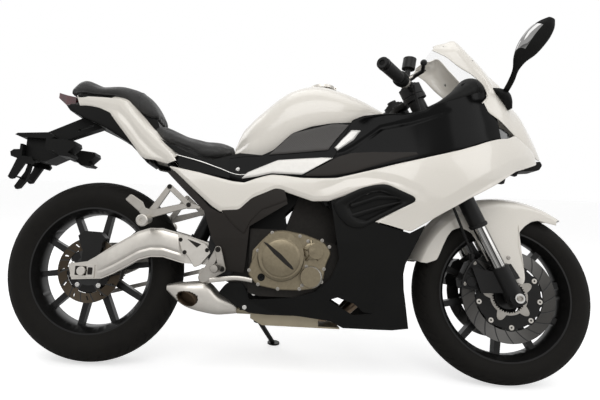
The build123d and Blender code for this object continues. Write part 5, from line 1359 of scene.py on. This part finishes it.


# ---------------- seat side: a painted highlight line, and screws
# painted highlight: a bright steel rope that stands for the highlight line along the edge of the seat side
HIGHLIGHT_LINE = np.array([(282, 716), (366, 694), (436, 670), (505, 648), (579, 660), (674, 672)], float)
x, z = through(np.arange(6), HIGHLIGHT_LINE, np.linspace(0, 5, 50)).T
detail("side_highlight_line", twins(rope(stacked(x, half_width(x, z) - 9, z), 1.8, 8, 90)), BRIGHT, "rear_axle")
detail("seat_side_bolts", twins(bolts([(501, float(half_width(501, 663)) - 9, 665)], LEFT, 5, 4, 8)),
       BRIGHT, "rear_axle")
RIDGE_RUNGS = [
    (418, 560, 419, 588), (450, 530, 455, 590), (495, 480, 505, 592), (531, 452, 545, 606),
    (548, 492, 575, 620), (585, 532, 600, 622), (625, 548, 630, 611), (666, 565, 655, 601)]
detail("cover_ridges", panel(RIDGE_RUNGS, 90, 26, wall=3, lift=-4.2, roll=2.6), DARK_GREY, "frame_covers")
ARM_TOP = [(12, 344), (36, 359), (94, 400), (173, 449), (214, 463), (256, 464), (298, 454), (352, 440)]
ARM_LOW = [(-36, 283), (64, 290), (103, 308), (182, 356), (222, 368), (263, 369), (330, 352), (352, 352)]


def arm_side():
    """The left arm's outer wall: a crown of 9 mm along the arm, with a 4 mm groove three tenths of the
    way up."""
    x = np.linspace(46, 338, 110)[:, None]
    share = np.linspace(0, 1, 41)[None, :]
    low = np.interp(x, *np.array(ARM_LOW, float).T) + 4
    high = np.interp(x, *np.array(ARM_TOP, float).T) - 4
    fade = np.clip((x - 46) / 34, 0, 1) * np.clip((338 - x) / 24, 0, 1)
    crown = 9 * np.sin(np.pi * share) ** 0.6 - 4 * np.clip(1 - np.abs(share - 0.3) / 0.09, 0, 1)
    return shell(stacked(x, 122.3 + crown * fade, low + (high - low) * share), 1.2, (190, 100, 400))


detail("swingarm_sides", twins(arm_side()), SILVER, "swingarm")
WINDOWS = ((-25, 14, 298, 328), (18, 34, 301, 325))
windows = [plate([(back, low), (ahead, low), (ahead, high), (back, high)], 126.4, 127.8, 3, 0.4)
           for back, ahead, low, high in WINDOWS]
detail("adjuster_windows", twins(*windows), CAST_DARK, "rear_axle")
GUIDE = [(312, 451), (408, 417), (425, 390), (392, 349), (373, 341), (345, 382), (329, 391), (316, 431)]
detail("arm_plates", twins(plate(GUIDE, 134, 144, 6, 1.5)), SILVER, "rearsets")
guide_slot = plate([(344, 432), (392, 416), (378, 404)], 143.9, 144.4, 3, 0.1)
detail("arm_plate_slots", twins(guide_slot), CAST_DARK, "engine_block")
for node, width in (("swingarm", 5), ("engine_block", 3), ("engine_covers", 3), ("fork_clamps", 2),
                    ("front_calipers", 3), ("rear_caliper", 3), ("exhaust_box", 4), ("fork_bottoms", 2),
                    ("dashboard", 4), ("rear_fender", 1.5), ("rear_axle", 1.5), ("radiator", 1.5)):
    softened(node, width)


# ---------------- stage
# the pixels of the view: its width and height, the focal length and the point that the camera looks at
VIEW_SIZE, FOCAL_LENGTH, VIEW_CENTRE = (600, 400), 442, (254, 178)
SENSOR = 36.0
CAMERA_PLACE = np.array([621.0, -1510.0, 651.0])
CAMERA_YAW, CAMERA_PITCH, CAMERA_ROLL = (math.radians(a) for a in (-2.6, -0.2, 2.15))
FLOOR_REACH, FLOOR_GLOW = 30.0, 0.62
SKY_LIGHT, SKY_SEEN = 0.36, 1.0
# name, place and aim in metres, width, height, watts
SOFTBOXES = (("key", (-0.4, -2.6, 3.4), (0, 0, 0.5), 3.4, 2.0, 50),
             ("front", (2.6, -1.6, 2.2), (0.3, 0, 0.5), 1.4, 2.2, 15),
             ("rear", (-2.6, 1.2, 2.6), (-0.3, 0, 0.6), 1.6, 2.0, 18),
             ("top", (0.2, 0.3, 3.6), (0, 0, 0.5), 3.6, 1.6, 20))


def floor():
    """A pale floor that keeps the bike's shadow."""
    finish = Finish("floor")
    finish.surface(color=finish.mix(finish.noise(3, 2), (0.80, 0.80, 0.80), (0.82, 0.82, 0.82)), rough=0.9,
                   glow=(1, 1, 1), glow_strength=finish.node("LightPath") * FLOOR_GLOW)
    ground = bpy.data.meshes.new("floor")
    corners = [(FLOOR_REACH * x, FLOOR_REACH * y, 0) for x, y in ((-1, -1), (1, -1), (1, 1), (-1, 1))]
    ground.from_pydata(corners, [], [(0, 1, 2, 3)])
    ground.materials.append(finish.owner)
    linked("floor", ground)


def sky():
    """A white sky that camera, glass and mirrors see at full strength."""
    world = bpy.data.worlds.new("surround")
    bpy.context.scene.world = world
    finish = Finish("surround", world)
    seen = finish.node("LightPath", out="Is Camera Ray")
    for kind in ("Is Transmission Ray", "Is Glossy Ray"):
        seen = seen.math("MAXIMUM", finish.node("LightPath", out=kind))
    strength = finish.node("MapRange", values={0: seen, 3: SKY_LIGHT, 4: SKY_SEEN})
    light = finish.node("Background", values={"Color": (1, 1, 1), "Strength": strength})
    finish.node("OutputWorld", values={0: light})


def softbox(name, place, aim, width, height, power):
    """A rectangular light that faces from its place to its aim."""
    lamp = bpy.data.lights.new(name, "AREA")
    lamp.shape, lamp.size, lamp.size_y, lamp.energy = "RECTANGLE", width, height, power
    holder = linked(name, lamp)
    holder.location = place
    holder.rotation_euler = (Vector(place) - Vector(aim)).to_track_quat("Z", "Y").to_euler()


def camera():
    """The camera from its place, its three angles and the focal length in pixels of the view."""
    yaw, pitch, roll = CAMERA_YAW, CAMERA_PITCH, CAMERA_ROLL
    ahead = Vector((math.sin(yaw) * math.cos(pitch), math.cos(yaw) * math.cos(pitch), -math.sin(pitch)))
    right = Vector((math.cos(yaw), -math.sin(yaw), 0))
    up = right.cross(ahead)
    right, up = math.cos(roll) * right + math.sin(roll) * up, math.cos(roll) * up - math.sin(roll) * right
    lens = bpy.data.cameras.new("camera")
    wide, high = VIEW_SIZE
    lens.sensor_fit, lens.sensor_width, lens.lens = "HORIZONTAL", SENSOR, FOCAL_LENGTH / wide * SENSOR
    lens.shift_x, lens.shift_y = (wide / 2 - VIEW_CENTRE[0]) / wide, (VIEW_CENTRE[1] - high / 2) / wide
    holder = linked("camera", lens)
    holder.matrix_world = (Matrix.Translation((CAMERA_PLACE + SHIFT) / 1000)
                           @ Matrix((right, up, -ahead)).transposed().to_4x4())
    bpy.context.scene.camera = holder
    bpy.context.scene.view_settings.view_transform = "Standard"


floor()
sky()
for box in SOFTBOXES:
    softbox(*box)
camera()
